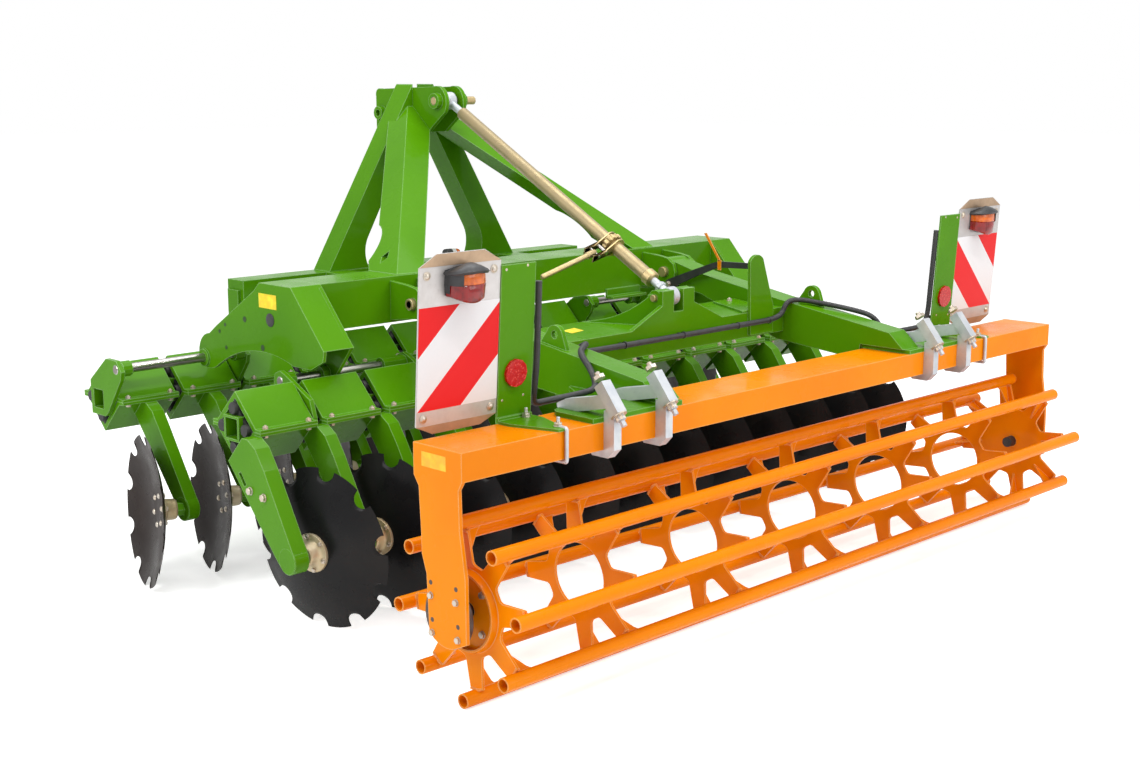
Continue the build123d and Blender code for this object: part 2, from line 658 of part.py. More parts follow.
body = body - facet_rod(tuple(start + along * 700), tuple(finish), rod_radius + 0.6, 12)
add("spindle_tube", body)
screw = facet_rod(tuple(start + along * 900), tuple(finish - along * 20), rod_radius, 12)
screw = screw + xbar(-18, 18, eye_pin, 32, 12) - xhole(-50, 50, eye_pin, eye_pin_radius + 3, 12)
add("spindle_rod", screw)

# The part's origin is under the middle of its box, on the ground
boxes = [solid.bounding_box() for solids in parts.values() for solid in solids]
low = [min(tuple(box.min)[k] for box in boxes) for k in range(3)]
high = [max(tuple(box.max)[k] for box in boxes) for k in range(3)]
origin = Pos(-(low[0] + high[0]) / 2, -(low[1] + high[1]) / 2, -low[2])
print("origin", [round(v, 4) for v in tuple(origin.position)])
print("size", [round(b - a, 3) for a, b in zip(low, high)])

os.makedirs("parts", exist_ok=True)
for name, solids in parts.items():
    placed = [origin * solid for solid in solids]
    shape = placed[0] if len(placed) == 1 else Compound(children=placed)
    shape.label = name
    export_step(shape, f"parts/{name}.step")
    print(name, len(solids))
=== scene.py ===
import bmesh
import bpy
from math import atan2, copysign, cos, hypot, pi, radians, sin, sqrt
from mathutils import Matrix, Vector


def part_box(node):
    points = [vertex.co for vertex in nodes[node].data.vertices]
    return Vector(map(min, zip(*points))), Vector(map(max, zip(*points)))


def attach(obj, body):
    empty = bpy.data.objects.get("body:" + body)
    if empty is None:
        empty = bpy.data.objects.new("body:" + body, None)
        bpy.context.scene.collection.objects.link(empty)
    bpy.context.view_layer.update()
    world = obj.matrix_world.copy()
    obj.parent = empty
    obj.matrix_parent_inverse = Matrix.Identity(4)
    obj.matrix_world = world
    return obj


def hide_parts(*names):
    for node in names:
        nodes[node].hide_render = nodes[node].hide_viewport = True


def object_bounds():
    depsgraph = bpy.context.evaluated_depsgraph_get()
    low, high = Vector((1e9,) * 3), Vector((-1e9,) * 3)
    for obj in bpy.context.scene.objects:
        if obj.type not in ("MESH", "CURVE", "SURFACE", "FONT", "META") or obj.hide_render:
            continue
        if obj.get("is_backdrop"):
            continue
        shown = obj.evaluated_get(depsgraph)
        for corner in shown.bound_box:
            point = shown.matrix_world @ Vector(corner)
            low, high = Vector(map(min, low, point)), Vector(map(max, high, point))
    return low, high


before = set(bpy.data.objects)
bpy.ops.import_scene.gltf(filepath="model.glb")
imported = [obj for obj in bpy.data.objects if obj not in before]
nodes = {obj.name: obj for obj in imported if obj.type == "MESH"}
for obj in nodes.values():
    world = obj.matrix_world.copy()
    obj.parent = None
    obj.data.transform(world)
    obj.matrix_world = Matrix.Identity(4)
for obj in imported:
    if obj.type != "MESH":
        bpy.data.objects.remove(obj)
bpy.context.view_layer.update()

# The layout frame: x from the machine's middle, y forward from the roller's axle, z from the ground,
# in metres. It is found from the eye pin and the main beam, whose places in it are known.
EYE_Y, EYE_Z = 0.496, 0.929
BEAM_TOP = 1.0
eye_low, eye_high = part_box("eye_pin")
beam_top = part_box("main_beam")[1].z
SHIFT = Vector(((eye_low.x + eye_high.x) / 2, (eye_low.y + eye_high.y) / 2 - EYE_Y, beam_top - BEAM_TOP))


def at(x, y, z):
    """A point of the layout frame in the model's frame."""
    return Vector((x, y, z)) + SHIFT


# Camera, light and floor

SKY_SEEN, SKY_LIGHT = 1.0, 0.47
FLOOR_HALF, FLOOR_GLOW = 40, 0.57

scene = bpy.context.scene
camera_data = bpy.data.cameras.new("camera")
camera_data.sensor_width = 36.0
camera_data.lens = 49.9
camera_data.clip_end = 200.0
camera = bpy.data.objects.new("camera", camera_data)
heading, pitch = radians(45.0), radians(10.9)
flat = cos(pitch)
look = Vector((sin(heading) * flat, cos(heading) * flat, -sin(pitch)))
camera.location = at(-4.045, -3.06, 1.67)
camera.rotation_euler = look.to_track_quat("-Z", "Y").to_euler()
scene.collection.objects.link(camera)
scene.camera = camera
scene.view_settings.view_transform = "Standard"

world = bpy.data.worlds.new("studio")
world.use_nodes = True
world_light = world.node_tree.nodes["Background"]
world_light.inputs["Color"].default_value = (1.0, 1.0, 1.0, 1.0)
scene.world = world


def put(node, values):
    """Sets the values of a node's sockets by their names."""
    for socket, value in values.items():
        node.inputs[socket].default_value = value


def add_object(name, data):
    made = bpy.data.objects.new(name, data)
    scene.collection.objects.link(made)
    return made


def seen_or_lighting(tree, seen, lighting):
    """One value for rays that see the thing, directly or mirrored, and another for its light."""
    path = tree.nodes.new("ShaderNodeLightPath")
    either = path.outputs["Is Camera Ray"]
    for ray in ("Is Glossy Ray", "Is Transmission Ray"):
        larger = tree.nodes.new("ShaderNodeMath")
        larger.operation = "MAXIMUM"
        tree.links.new(either, larger.inputs[0])
        tree.links.new(path.outputs[ray], larger.inputs[1])
        either = larger.outputs["Value"]
    value = tree.nodes.new("ShaderNodeMapRange")
    put(value, {"To Min": lighting, "To Max": seen})
    tree.links.new(either, value.inputs["Value"])
    return value.outputs["Result"]


sky_strength = seen_or_lighting(world.node_tree, SKY_SEEN, SKY_LIGHT)
world.node_tree.links.new(sky_strength, world_light.inputs["Strength"])


def area_light(name, place, target, size, power, length=None):
    """A square lamp, or with a length a strip, aimed at the target."""
    data = bpy.data.lights.new(name, "AREA")
    data.size = length or size
    if length:
        data.shape = "RECTANGLE"
        data.size_y = size
    data.energy = power
    light = add_object(name, data)
    light.location = place
    light.rotation_euler = (Vector(target) - Vector(place)).to_track_quat("-Z", "Y").to_euler()


area_light("key", (-5.2, 0.4, 3.6), (0, 0, 0.5), 2.6, 120.0)
area_light("top", (0.6, 0.4, 5.5), (0, 0, 0.4), 3.6, 132.0)
area_light("back", (1.5, -6.0, 2.6), (0, 0, 0.6), 2.6, 90.0)
area_light("strip", (-0.6, -2.6, 4.6), (0, 0, 0.5), 0.16, 95.0, 6.0)

floor_mesh = bpy.data.meshes.new("floor")
floor_corners = [(x * FLOOR_HALF, y * FLOOR_HALF, 0) for x, y in ((-1, -1), (1, -1), (1, 1), (-1, 1))]
floor_mesh.from_pydata(floor_corners, [], [(0, 1, 2, 3)])
floor = add_object("floor", floor_mesh)
floor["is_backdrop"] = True


# Materials

class Paint:
    """A procedural material that varies over the surface in the model's own coordinates."""

    def __init__(self, name, colour, rough, metallic=0.0, coat=0.0, gloss=0.5):
        self.material = bpy.data.materials.new(name)
        self.material.use_nodes = True
        self.tree = self.material.node_tree
        self.shader = self.tree.nodes["Principled BSDF"]
        put(self.shader, {"Base Color": (*colour, 1.0), "Roughness": rough, "Metallic": metallic,
                          "Coat Weight": coat, "Coat Roughness": 0.06, "Specular IOR Level": gloss})
        self.coords = self.tree.nodes.new("ShaderNodeTexCoord").outputs["Object"]
        self.colour = None
        self.normal = None

    def node(self, kind, **settings):
        made = self.tree.nodes.new(kind)
        for key, value in settings.items():
            setattr(made, key, value)
        return made

    def link(self, output, socket):
        self.tree.links.new(output, socket)

    def noise(self, scale, detail=3.0, rough=0.55, stretch=None):
        made = self.node("ShaderNodeTexNoise")
        put(made, {"Scale": scale, "Detail": detail, "Roughness": rough})
        source = self.coords
        if stretch:
            mapping = self.node("ShaderNodeMapping")
            mapping.inputs["Scale"].default_value = stretch
            self.link(source, mapping.inputs["Vector"])
            source = mapping.outputs["Vector"]
        self.link(source, made.inputs["Vector"])
        return made.outputs["Fac"]

    def ramp(self, value, low, high, out_low=0.0, out_high=1.0):
        made = self.node("ShaderNodeMapRange", interpolation_type="SMOOTHSTEP")
        put(made, {"From Min": low, "From Max": high, "To Min": out_low, "To Max": out_high})
        self.link(value, made.inputs["Value"])
        return made.outputs["Result"]

    def maths(self, operation, a, b=None):
        made = self.node("ShaderNodeMath", operation=operation)
        for socket, value in zip(made.inputs, (a, b)):
            if value is None:
                continue
            if isinstance(value, (int, float)):
                socket.default_value = value
            else:
                self.link(value, socket)
        return made.outputs["Value"]

    def axis(self, name):
        made = self.node("ShaderNodeSeparateXYZ")
        self.link(self.coords, made.inputs["Vector"])
        return made.outputs[name]

    def blend(self, factor, colour):
        """Lays a colour over the one so far, by factor."""
        made = self.node("ShaderNodeMix", data_type="RGBA")
        if self.colour is None:
            made.inputs["A"].default_value = self.shader.inputs["Base Color"].default_value
        else:
            self.link(self.colour, made.inputs["A"])
        made.inputs["B"].default_value = (*colour, 1.0)
        self.link(factor, made.inputs["Factor"])
        self.colour = made.outputs["Result"]
        self.link(self.colour, self.shader.inputs["Base Color"])

    def roughness(self, value, low, high):
        self.link(self.ramp(value, 0.3, 0.7, low, high), self.shader.inputs["Roughness"])

    def rounded(self, radius):
        """Softens the look of sharp edges."""
        made = self.node("ShaderNodeBevel", samples=4)
        made.inputs["Radius"].default_value = radius
        self.normal = made.outputs["Normal"]
        self.link(self.normal, self.shader.inputs["Normal"])

    def edges(self, radius, colour, strength):
        """Painted highlight: lightens the edges, where the rounded normal leaves the surface's own."""
        soft = self.node("ShaderNodeBevel", samples=6)
        soft.inputs["Radius"].default_value = radius
        plain = self.node("ShaderNodeNewGeometry")
        dot = self.node("ShaderNodeVectorMath", operation="DOT_PRODUCT")
        self.link(soft.outputs["Normal"], dot.inputs[0])
        self.link(plain.outputs["Normal"], dot.inputs[1])
        bend = self.maths("SUBTRACT", 1.0, dot.outputs["Value"])
        self.blend(self.ramp(bend, 0.005, 0.13, 0.0, strength), colour)

    def bump(self, value, strength, distance=0.001):
        made = self.node("ShaderNodeBump")
        put(made, {"Strength": strength, "Distance": distance})
        self.link(value, made.inputs["Height"])
        if self.normal is not None:
            self.link(self.normal, made.inputs["Normal"])
        self.normal = made.outputs["Normal"]
        self.link(self.normal, self.shader.inputs["Normal"])


def lighter(colour, scale, lift):
    return tuple(min(1.0, scale * v + lift) for v in colour)


def gloss_paint(name, colour, shade, dust):
    """Sprayed enamel: slight orange peel, cloudy colour, a little dust and a painted highlight along the
    edges.
    """
    made = Paint(name, colour, 0.3, coat=0.13, gloss=0.04)
    made.blend(made.ramp(made.noise(2.2, 4.0), 0.35, 0.7), shade)
    made.blend(made.ramp(made.noise(38.0, 6.0, 0.7), 0.62, 0.8, 0.0, 0.12), dust)
    made.roughness(made.noise(9.0, 4.0), 0.22, 0.34)
    # Painted highlight: the edges are lightened as if they caught the light.
    made.edges(0.005, lighter(colour, 1.3, 0.2), 0.85)
    made.rounded(0.0035)
    made.bump(made.noise(170.0, 2.0), 0.1, 0.0006)
    made.bump(made.noise(6.0, 2.0), 0.08, 0.004)
    return made.material


def zinc(name, colour, tint, rough, metallic=0.75):
    """Plated or galvanised steel: cloudy, with a fine grain."""
    made = Paint(name, colour, rough, metallic=metallic)
    made.blend(made.ramp(made.noise(14.0, 5.0, 0.65), 0.35, 0.7), tint)
    made.blend(made.ramp(made.noise(90.0, 3.0), 0.6, 0.8, 0.0, 0.25), tuple(0.55 * v for v in colour))
    made.roughness(made.noise(30.0, 4.0), rough - 0.07, rough + 0.1)
    made.rounded(0.0015)
    made.bump(made.noise(260.0, 3.0), 0.15, 0.0005)
    return made.material


green = gloss_paint("green_enamel", (0.088, 0.285, 0.002), (0.072, 0.245, 0.002), (0.14, 0.29, 0.03))
orange = gloss_paint("orange_enamel", (0.93, 0.27, 0.001), (0.86, 0.232, 0.001), (0.88, 0.36, 0.02))
galvanised = zinc("galvanised", (0.6, 0.62, 0.64), (0.48, 0.51, 0.55), 0.46, 0.5)
yellow_zinc = zinc("yellow_zinc", (0.46, 0.36, 0.19), (0.5, 0.38, 0.18), 0.4)
tube_zinc = zinc("tube_zinc", (0.36, 0.29, 0.165), (0.41, 0.32, 0.17), 0.44)
hub_zinc = zinc("hub_zinc", (0.56, 0.48, 0.33), (0.52, 0.4, 0.22), 0.42, 0.5)
bolt_zinc = zinc("bolt_zinc", (0.5, 0.46, 0.4), (0.54, 0.43, 0.31), 0.36)


def steel_bar():
    """Ground and polished bar, with its grain along x."""
    made = Paint("bright_steel", (0.42, 0.4, 0.38), 0.3, metallic=1.0)
    made.blend(made.ramp(made.noise(40.0, 3.0, stretch=(0.05, 1, 1)), 0.4, 0.7), (0.3, 0.28, 0.26))
    made.roughness(made.noise(60.0, 3.0, stretch=(0.03, 1, 1)), 0.22, 0.38)
    made.rounded(0.001)
    made.bump(made.noise(400.0, 2.0, stretch=(1, 0.05, 0.05)), 0.1, 0.0003)
    return made.material


def disc_steel(name, colour, worn, gloss):
    """Dark painted disc steel, a little worn."""
    made = Paint(name, colour, 0.3, gloss=gloss)
    made.blend(made.ramp(made.noise(5.0, 5.0), 0.4, 0.75), worn)
    made.blend(made.ramp(made.noise(70.0, 6.0, 0.7), 0.62, 0.8, 0.0, 0.25), tuple(2.4 * v for v in worn))
    made.roughness(made.noise(11.0, 5.0), 0.22, 0.38)
    made.bump(made.noise(8.0, 2.0), 0.1, 0.003)
    made.bump(made.noise(300.0, 2.0), 0.1, 0.0004)
    return made.material


def black_rubber():
    made = Paint("black_rubber", (0.018, 0.018, 0.018), 0.6)
    made.blend(made.ramp(made.noise(20.0, 5.0), 0.45, 0.75, 0.0, 0.5), (0.05, 0.048, 0.045))
    made.roughness(made.noise(40.0, 4.0), 0.5, 0.72)
    made.bump(made.noise(220.0, 3.0), 0.25, 0.0006)
    return made.material


def lens(name, colour, deep):
    """Ribbed lamp plastic."""
    made = Paint(name, colour, 0.12, coat=0.4, gloss=0.3)
    made.blend(made.ramp(made.noise(60.0, 3.0), 0.35, 0.7), deep)
    wave = made.node("ShaderNodeTexWave", wave_type="BANDS", bands_direction="X")
    wave.inputs["Scale"].default_value = 90.0
    made.link(made.coords, wave.inputs["Vector"])
    made.bump(wave.outputs["Fac"], 0.25, 0.001)
    return made.material


def reflector_red():
    made = Paint("reflector_red", (0.55, 0.006, 0.006), 0.12, coat=0.3, gloss=0.2)
    cells = made.node("ShaderNodeTexVoronoi")
    cells.inputs["Scale"].default_value = 130.0
    made.link(made.coords, cells.inputs["Vector"])
    # Painted highlight: each prism cell is lighter red towards its middle.
    made.blend(made.ramp(cells.outputs["Distance"], 0.15, 0.45, 0.55, 0.0), (0.95, 0.12, 0.09))
    made.bump(cells.outputs["Distance"], 0.5, 0.001)
    return made.material


STRIPE_FOOT, STRIPE_SLOPE, STRIPE_PITCH = 0.792, 0.96, 0.292
BOARD_INNER, BOARD_OUTER = 1.16, 1.448


def striped_sign():
    """Red and white reflecting film: slanting stripes that rise away from the board's outer edge."""
    made = Paint("striped_sign", (0.84, 0.84, 0.86), 0.34, coat=0.05, gloss=0.15)
    made.blend(made.ramp(made.noise(120.0, 2.0), 0.4, 0.65, 0.0, 0.25), (0.8, 0.81, 0.83))
    x = made.maths("ABSOLUTE", made.maths("SUBTRACT", made.axis("X"), SHIFT.x))
    rise = made.maths("SUBTRACT", made.axis("Z"), SHIFT.z + STRIPE_FOOT)
    run = made.maths("MULTIPLY", made.maths("SUBTRACT", BOARD_OUTER, x), STRIPE_SLOPE)
    turns = made.maths("DIVIDE", made.maths("SUBTRACT", rise, run), STRIPE_PITCH)
    made.blend(made.maths("GREATER_THAN", made.maths("FRACT", turns), 0.5), (0.8, 0.01, 0.012))
    made.bump(made.noise(500.0, 2.0), 0.1, 0.0003)
    return made.material


def plain_plastic(name, colour, rough):
    made = Paint(name, colour, rough)
    made.blend(made.ramp(made.noise(30.0, 4.0), 0.4, 0.7), lighter(colour, 1.35, 0.004))
    made.roughness(made.noise(50.0, 3.0), rough - 0.08, rough + 0.08)
    made.rounded(0.0015)
    made.bump(made.noise(350.0, 2.0), 0.2, 0.0004)
    return made.material


steel = steel_bar()
rear_disc_paint = disc_steel("rear_disc_steel", (0.008, 0.0078, 0.0085), (0.015, 0.013, 0.012), 0.13)
# Painted reflection: the front discs are a lighter brown-grey copy of the rear discs' dark steel, with less
# gloss.
front_disc_painted_reflection = disc_steel("front_disc_steel_painted_reflection", (0.026, 0.019, 0.017), (0.034, 0.024, 0.021), 0.03)
rubber = black_rubber()
lens_orange = lens("lens_orange", (0.8, 0.16, 0.006), (0.55, 0.08, 0.003))
lens_red = lens("lens_red", (0.3, 0.005, 0.005), (0.16, 0.003, 0.004))
red_reflector = reflector_red()
sign = striped_sign()
black_plastic = plain_plastic("black_plastic", (0.02, 0.02, 0.022), 0.45)
yellow_label = plain_plastic("yellow_label", (0.92, 0.66, 0.01), 0.4)
amber_label = plain_plastic("amber_label", (0.93, 0.42, 0.005), 0.4)
dark_plate_and_hole_shade = plain_plastic("dark_plate_and_hole_shade", (0.045, 0.026, 0.02), 0.4)
aluminium = zinc("aluminium", (0.5, 0.475, 0.46), (0.56, 0.54, 0.53), 0.48)
tan_metal = zinc("tan_metal", (0.46, 0.32, 0.21), (0.37, 0.26, 0.17), 0.46)
white_plastic = plain_plastic("white_plastic", (0.75, 0.75, 0.74), 0.35)
worn_steel = zinc("worn_steel", (0.2, 0.18, 0.17), (0.28, 0.25, 0.23), 0.5)
painted_hole_shade = plain_plastic("painted_hole_shade", (0.012, 0.045, 0.004), 0.6)

floor_paint = Paint("floor", (0.92, 0.92, 0.92), 0.9)
floor_paint.blend(floor_paint.ramp(floor_paint.noise(0.8, 3.0), 0.3, 0.7), (0.95, 0.95, 0.95))
put(floor_paint.shader, {"Specular IOR Level": 0.0, "Emission Color": (1.0, 1.0, 1.0, 1.0)})
floor_glow = seen_or_lighting(floor_paint.tree, FLOOR_GLOW, 0.0)
floor_paint.link(floor_glow, floor_paint.shader.inputs["Emission Strength"])
floor_mesh.materials.append(floor_paint.material)

# The CAD nodes that stay, and those that a later piece replaces

coats = {
    green: ["main_beam", "cheeks", "nose_beam", "tower_legs", "top_bracket", "lower_link_lugs",
            "pivot_brackets", "nose_posts", "rear_gang_tube", "front_gang_tube", "rear_gang_covers",
            "front_gang_covers", "rear_gang_arms", "front_gang_arms", "carrier_arms", "cross_tube",
            "board_brackets"],
    orange: ["roller_frame", "roller_cage"],
    steel: ["rear_gang_shafts", "front_gang_shafts", "spindle_rod"],
    yellow_zinc: ["spindle_tube", "eye_pin", "frame_pins"],
    rubber: ["rear_gang_rubbers", "front_gang_rubbers"],
    galvanised: ["claw_clamps"],
    aluminium: ["warning_boards"],
    red_reflector: ["reflectors"],
    black_plastic: ["tail_lamps", "marker_lamps", "lamp_conduit", "roller_bearings"],
}

for material, names in coats.items():
    for name in names:
        coated = nodes[name].data.materials
        if coated:
            for k in range(len(coated)):
                coated[k] = material
        else:
            coated.append(material)


# Mesh helpers

def circle(centre, u, v, radius, count):
    """Points round a centre in the plane of u and v."""
    ring = []
    for k in range(count):
        a = 2 * pi * k / count
        ring.append(centre + (u * cos(a) + v * sin(a)) * radius)
    return ring


def upright_circle(centre, dx, radius, count):
    """Points round a centre in the plane across x that is dx from it."""
    return circle(centre + Vector((dx, 0, 0)), Vector((0, 1, 0)), Vector((0, 0, 1)), radius, count)


class Shape:
    """Gathers faces with materials and turns them into one piece."""

    def __init__(self, name):
        self.name = name
        self.mesh = bmesh.new()
        self.materials = []

    def slot(self, material):
        if material not in self.materials:
            self.materials.append(material)
        return self.materials.index(material)

    def faces(self, points, loops, material, smooth=True):
        verts = [self.mesh.verts.new(p) for p in points]
        k = self.slot(material)
        for loop in loops:
            face = self.mesh.faces.new([verts[i] for i in loop])
            face.material_index = k
            face.smooth = smooth

    def rings(self, rings, material, close_start=True, close_end=True, smooth=True):
        """Joins rings of points, all of one length, and closes the ends."""
        n = len(rings[0])
        points = [p for ring in rings for p in ring]
        loops = []
        for a in range(len(rings) - 1):
            for k in range(n):
                b = (k + 1) % n
                loops.append((a * n + k, a * n + b, (a + 1) * n + b, (a + 1) * n + k))
        if close_start:
            loops.append(tuple(reversed(range(n))))
        if close_end:
            loops.append(tuple(range((len(rings) - 1) * n, len(rings) * n)))
        self.faces(points, loops, material, smooth)

    def lathe(self, origin, axis, profile, material, sides=24, ends=True):
        """Turns (distance along axis, radius) pairs about axis."""
        axis = Vector(axis).normalized()
        u = axis.orthogonal().normalized()
        v = axis.cross(u)
        rings = [circle(Vector(origin) + axis * d, u, v, r, sides) for d, r in profile]
        self.rings(rings, material, ends, ends)

    def prism(self, origin, axis, radius, height, sides, material, chamfer=0.0):
        profile = [(0.0, radius)]
        if chamfer:
            profile += [(height - chamfer, radius), (height, radius - chamfer * 1.4)]
        else:
            profile += [(height, radius)]
        self.lathe(origin, axis, profile, material, sides)

    def box(self, low, high, material):
        (x0, y0, z0), (x1, y1, z1) = low, high
        points = [(x0, y0, z0), (x1, y0, z0), (x1, y1, z0), (x0, y1, z0)]
        points += [(x0, y0, z1), (x1, y0, z1), (x1, y1, z1), (x0, y1, z1)]
        loops = [(0, 3, 2, 1), (4, 5, 6, 7), (0, 1, 5, 4), (1, 2, 6, 5), (2, 3, 7, 6), (3, 0, 4, 7)]
        self.faces([Vector(p) for p in points], loops, material, smooth=False)

    def bolt(self, place, axis, across, nut=False):
        """A hexagon head on its washer, or a nut with its thread's end."""
        axis = Vector(axis).normalized()
        place = Vector(place)
        self.prism(place, axis, across * 0.62, across * 0.1, 20, bolt_zinc)
        place = place + axis * across * 0.1
        self.prism(place, axis, across * 0.577, across * 0.42, 6, bolt_zinc, across * 0.06)
        if nut:
            thread = place + axis * across * 0.42
            self.prism(thread, axis, across * 0.28, across * 0.22, 14, bolt_zinc, across * 0.04)

    def to_mesh(self, sharp):
        mesh = bpy.data.meshes.new(self.name)
        bmesh.ops.recalc_face_normals(self.mesh, faces=self.mesh.faces)
        self.mesh.to_mesh(mesh)
        self.mesh.free()
        mesh.set_sharp_from_angle(angle=radians(sharp))
        for material in self.materials:
            mesh.materials.append(material)
        return mesh

    def done(self, body, sharp=32.0):
        made = add_object(self.name, self.to_mesh(sharp))
        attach(made, body)
        return made


# Discs: dished steel with notches, hub with its ring of bolts

DISCS = 12
DISC_PITCH = 0.25
DISC_CENTRE = 0.255
DISC_TILT = 2.5
DISC_RADIUS = 0.2545
DISC_DISH = 0.052
DISC_THICK = 0.005
TEETH = 10
TOOTH_HALF = radians(11.0)
NOTCH_BOTTOM = 0.219
RIM_LOWEST = 0.0009
HUB_BOLTS, HUB_BOLT_RADIUS = 6, 0.0525
sphere = (DISC_RADIUS ** 2 + DISC_DISH ** 2) / (2 * DISC_DISH)


def dish_height(radius):
    return sqrt(sphere ** 2 - radius ** 2) - (sphere - DISC_DISH)


def disc_outline():
    """Points (angle, radius) round the rim: teeth with round notches between them."""
    points = []
    pitch = 2 * pi / TEETH
    for k in range(TEETH):
        middle = pitch * k
        for j in range(7):
            points.append((middle - TOOTH_HALF + 2 * TOOTH_HALF * j / 6, DISC_RADIUS))
        notch = middle + pitch / 2
        edge = TOOTH_HALF - pitch / 2
        corner = Vector((DISC_RADIUS * cos(edge), DISC_RADIUS * sin(edge)))
        half = abs(corner.y)
        deep = corner.x - NOTCH_BOTTOM
        bow = (half ** 2 + deep ** 2) / (2 * deep)
        centre_x = NOTCH_BOTTOM + bow
        sweep = atan2(half, centre_x - corner.x)
        for j in range(1, 12):
            a = -sweep + 2 * sweep * j / 12
            x, y = centre_x - bow * cos(a), bow * sin(a)
            points.append((notch + atan2(y, x), hypot(x, y)))
    return points


def disc_mesh(name, paint, hub_end, first_tooth):
    """A disc that lies with its rim at z 0 and its hub up to hub_end."""
    outline = disc_outline()
    shape = Shape(name)
    inner = [0.214, 0.185, 0.15, 0.115, 0.085, 0.055]

    def ring(radius_of, height_of):
        points = []
        for angle, rim in outline:
            radius = radius_of(rim)
            a = angle + first_tooth
            points.append(Vector((radius * cos(a), radius * sin(a), height_of(radius))))
        return points

    def lower(r, drop=DISC_THICK):
        return max(RIM_LOWEST, dish_height(r) - drop)

    rim = ring(lambda r: r, lambda r: lower(r, DISC_THICK * 0.72))
    outer_rings = [rim, ring(lambda r: r - 0.008, dish_height)]
    outer_rings += [ring(lambda r, v=v: min(v, r - 0.01), dish_height) for v in inner]
    shape.rings(outer_rings, paint, close_start=False, close_end=True)
    under = [rim] + [ring(lambda r, v=v: min(v, r - 0.01), lower) for v in inner]
    shape.rings(under, paint, close_start=False, close_end=True)
    profile = [(0.046, 0.06), (0.054, 0.0615), (0.0585, 0.06), (0.0595, 0.046), (0.064, 0.041),
               (0.07, 0.0365), (hub_end - 0.008, 0.035), (hub_end - 0.003, 0.033), (hub_end, 0.03)]
    shape.lathe((0, 0, 0), (0, 0, 1), profile, hub_zinc, 40)
    shape.prism((0, 0, hub_end - 0.001), (0, 0, 1), 0.0262, 0.0008, 32, black_plastic)
    for k in range(HUB_BOLTS):
        a = 2 * pi * k / HUB_BOLTS + 0.2
        x, y = HUB_BOLT_RADIUS * cos(a), HUB_BOLT_RADIUS * sin(a)
        shape.bolt((x, y, 0.0588), (0, 0, 1), 0.013)
        bottom = dish_height(HUB_BOLT_RADIUS) - DISC_THICK
        head = [(0, 0.0105), (0.003, 0.0095), (0.006, 0.006), (0.007, 0.001)]
        shape.lathe((x, y, bottom + 0.001), (0, 0, -1), head, bolt_zinc, 14)
    bmesh.ops.remove_doubles(shape.mesh, verts=shape.mesh.verts, dist=1e-6)
    return shape.to_mesh(40.0)


def place_discs(row, paint, first_x, y, side, angle, hub_end):
    """A row of discs, each mesh laid out at its own place."""
    a, c = radians(angle), radians(DISC_TILT)
    axis = Vector((side * cos(a) * cos(c), -sin(a) * cos(c), -sin(c)))
    down = (Vector((0, 0, -1)) - axis * (-axis.z)).normalized()
    turned = Matrix((down, axis.cross(down), axis)).transposed().to_4x4()
    disc = disc_mesh(f"{row}_disc_look", paint, hub_end, TOOTH_HALF)
    for k in range(DISCS):
        mesh = disc.copy()
        mesh.transform(Matrix.Translation(at(first_x + DISC_PITCH * k, y, DISC_CENTRE)) @ turned)
        piece = add_object(f"{row}_disc_look_{k + 1:02d}", mesh)
        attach(piece, f"{row}_disc_{k + 1:02d}")
        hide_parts(f"{row}_disc_{k + 1:02d}")


place_discs("rear", rear_disc_paint, -1.295, 0.753, -1, 12.0, 0.092)
place_discs("front", front_disc_painted_reflection, -1.47, 1.505, 1, 17.0, 0.104)


# Bolts of the gang covers; a gang is its name, its tube's y and z, and its first clamp's x

GANGS = (("rear", 1.042, 0.602, -1.295), ("front", 1.797, 0.592, -1.33))
COVER_BOLT_X, COVER_BOLT_Y = 0.08, 0.118

for row, tube_y, tube_z, first_x in GANGS:
    bolts = Shape(f"{row}_cover_bolts")
    for k in range(DISCS):
        for dx in (-COVER_BOLT_X, COVER_BOLT_X):
            for dy in (-COVER_BOLT_Y, COVER_BOLT_Y):
                place = at(first_x + DISC_PITCH * k + dx, tube_y + dy, tube_z + 0.01)
                bolts.bolt(place, (0, 0, 1), 0.016, nut=True)
                bolts.bolt(place - Vector((0, 0, 0.02)), (0, 0, -1), 0.016)
    bolts.done(f"{row}_gang")


# Helpers for bars, plates and tubes in the layout frame

def bar(shape, p, q, radius, material, sides=24, chamfer=0.0, inner=0.0):
    """A round bar or, with an inner radius, a tube from p to q."""
    p, q = Vector(p), Vector(q)
    length = (q - p).length
    profile = [(0.0, radius), (length, radius)]
    if inner:
        profile = [(0.0, inner), *profile, (length, inner), (0.0, inner)]
    elif chamfer:
        profile = [(0.0, radius - chamfer), (chamfer, radius), (length - chamfer, radius),
                   (length, radius - chamfer)]
    shape.lathe(p, q - p, profile, material, sides, ends=not inner)


def plate(shape, points, thick, material, edge=0.0):
    """A flat plate: corner points in order, thickened along their normal, with a small edge break."""
    points = [Vector(p) for p in points]
    normal = (points[1] - points[0]).cross(points[2] - points[0]).normalized()
    middle = sum(points, Vector()) / len(points)
    if edge:
        inner = [p + (middle - p).normalized() * edge for p in points]
        low_rim = [p + normal * edge for p in points]
        high_rim = [p + normal * (thick - edge) for p in points]
        rings = [inner, low_rim, high_rim, [p + normal * thick for p in inner]]
    else:
        rings = [points, [p + normal * thick for p in points]]
    shape.rings(rings, material, smooth=False)


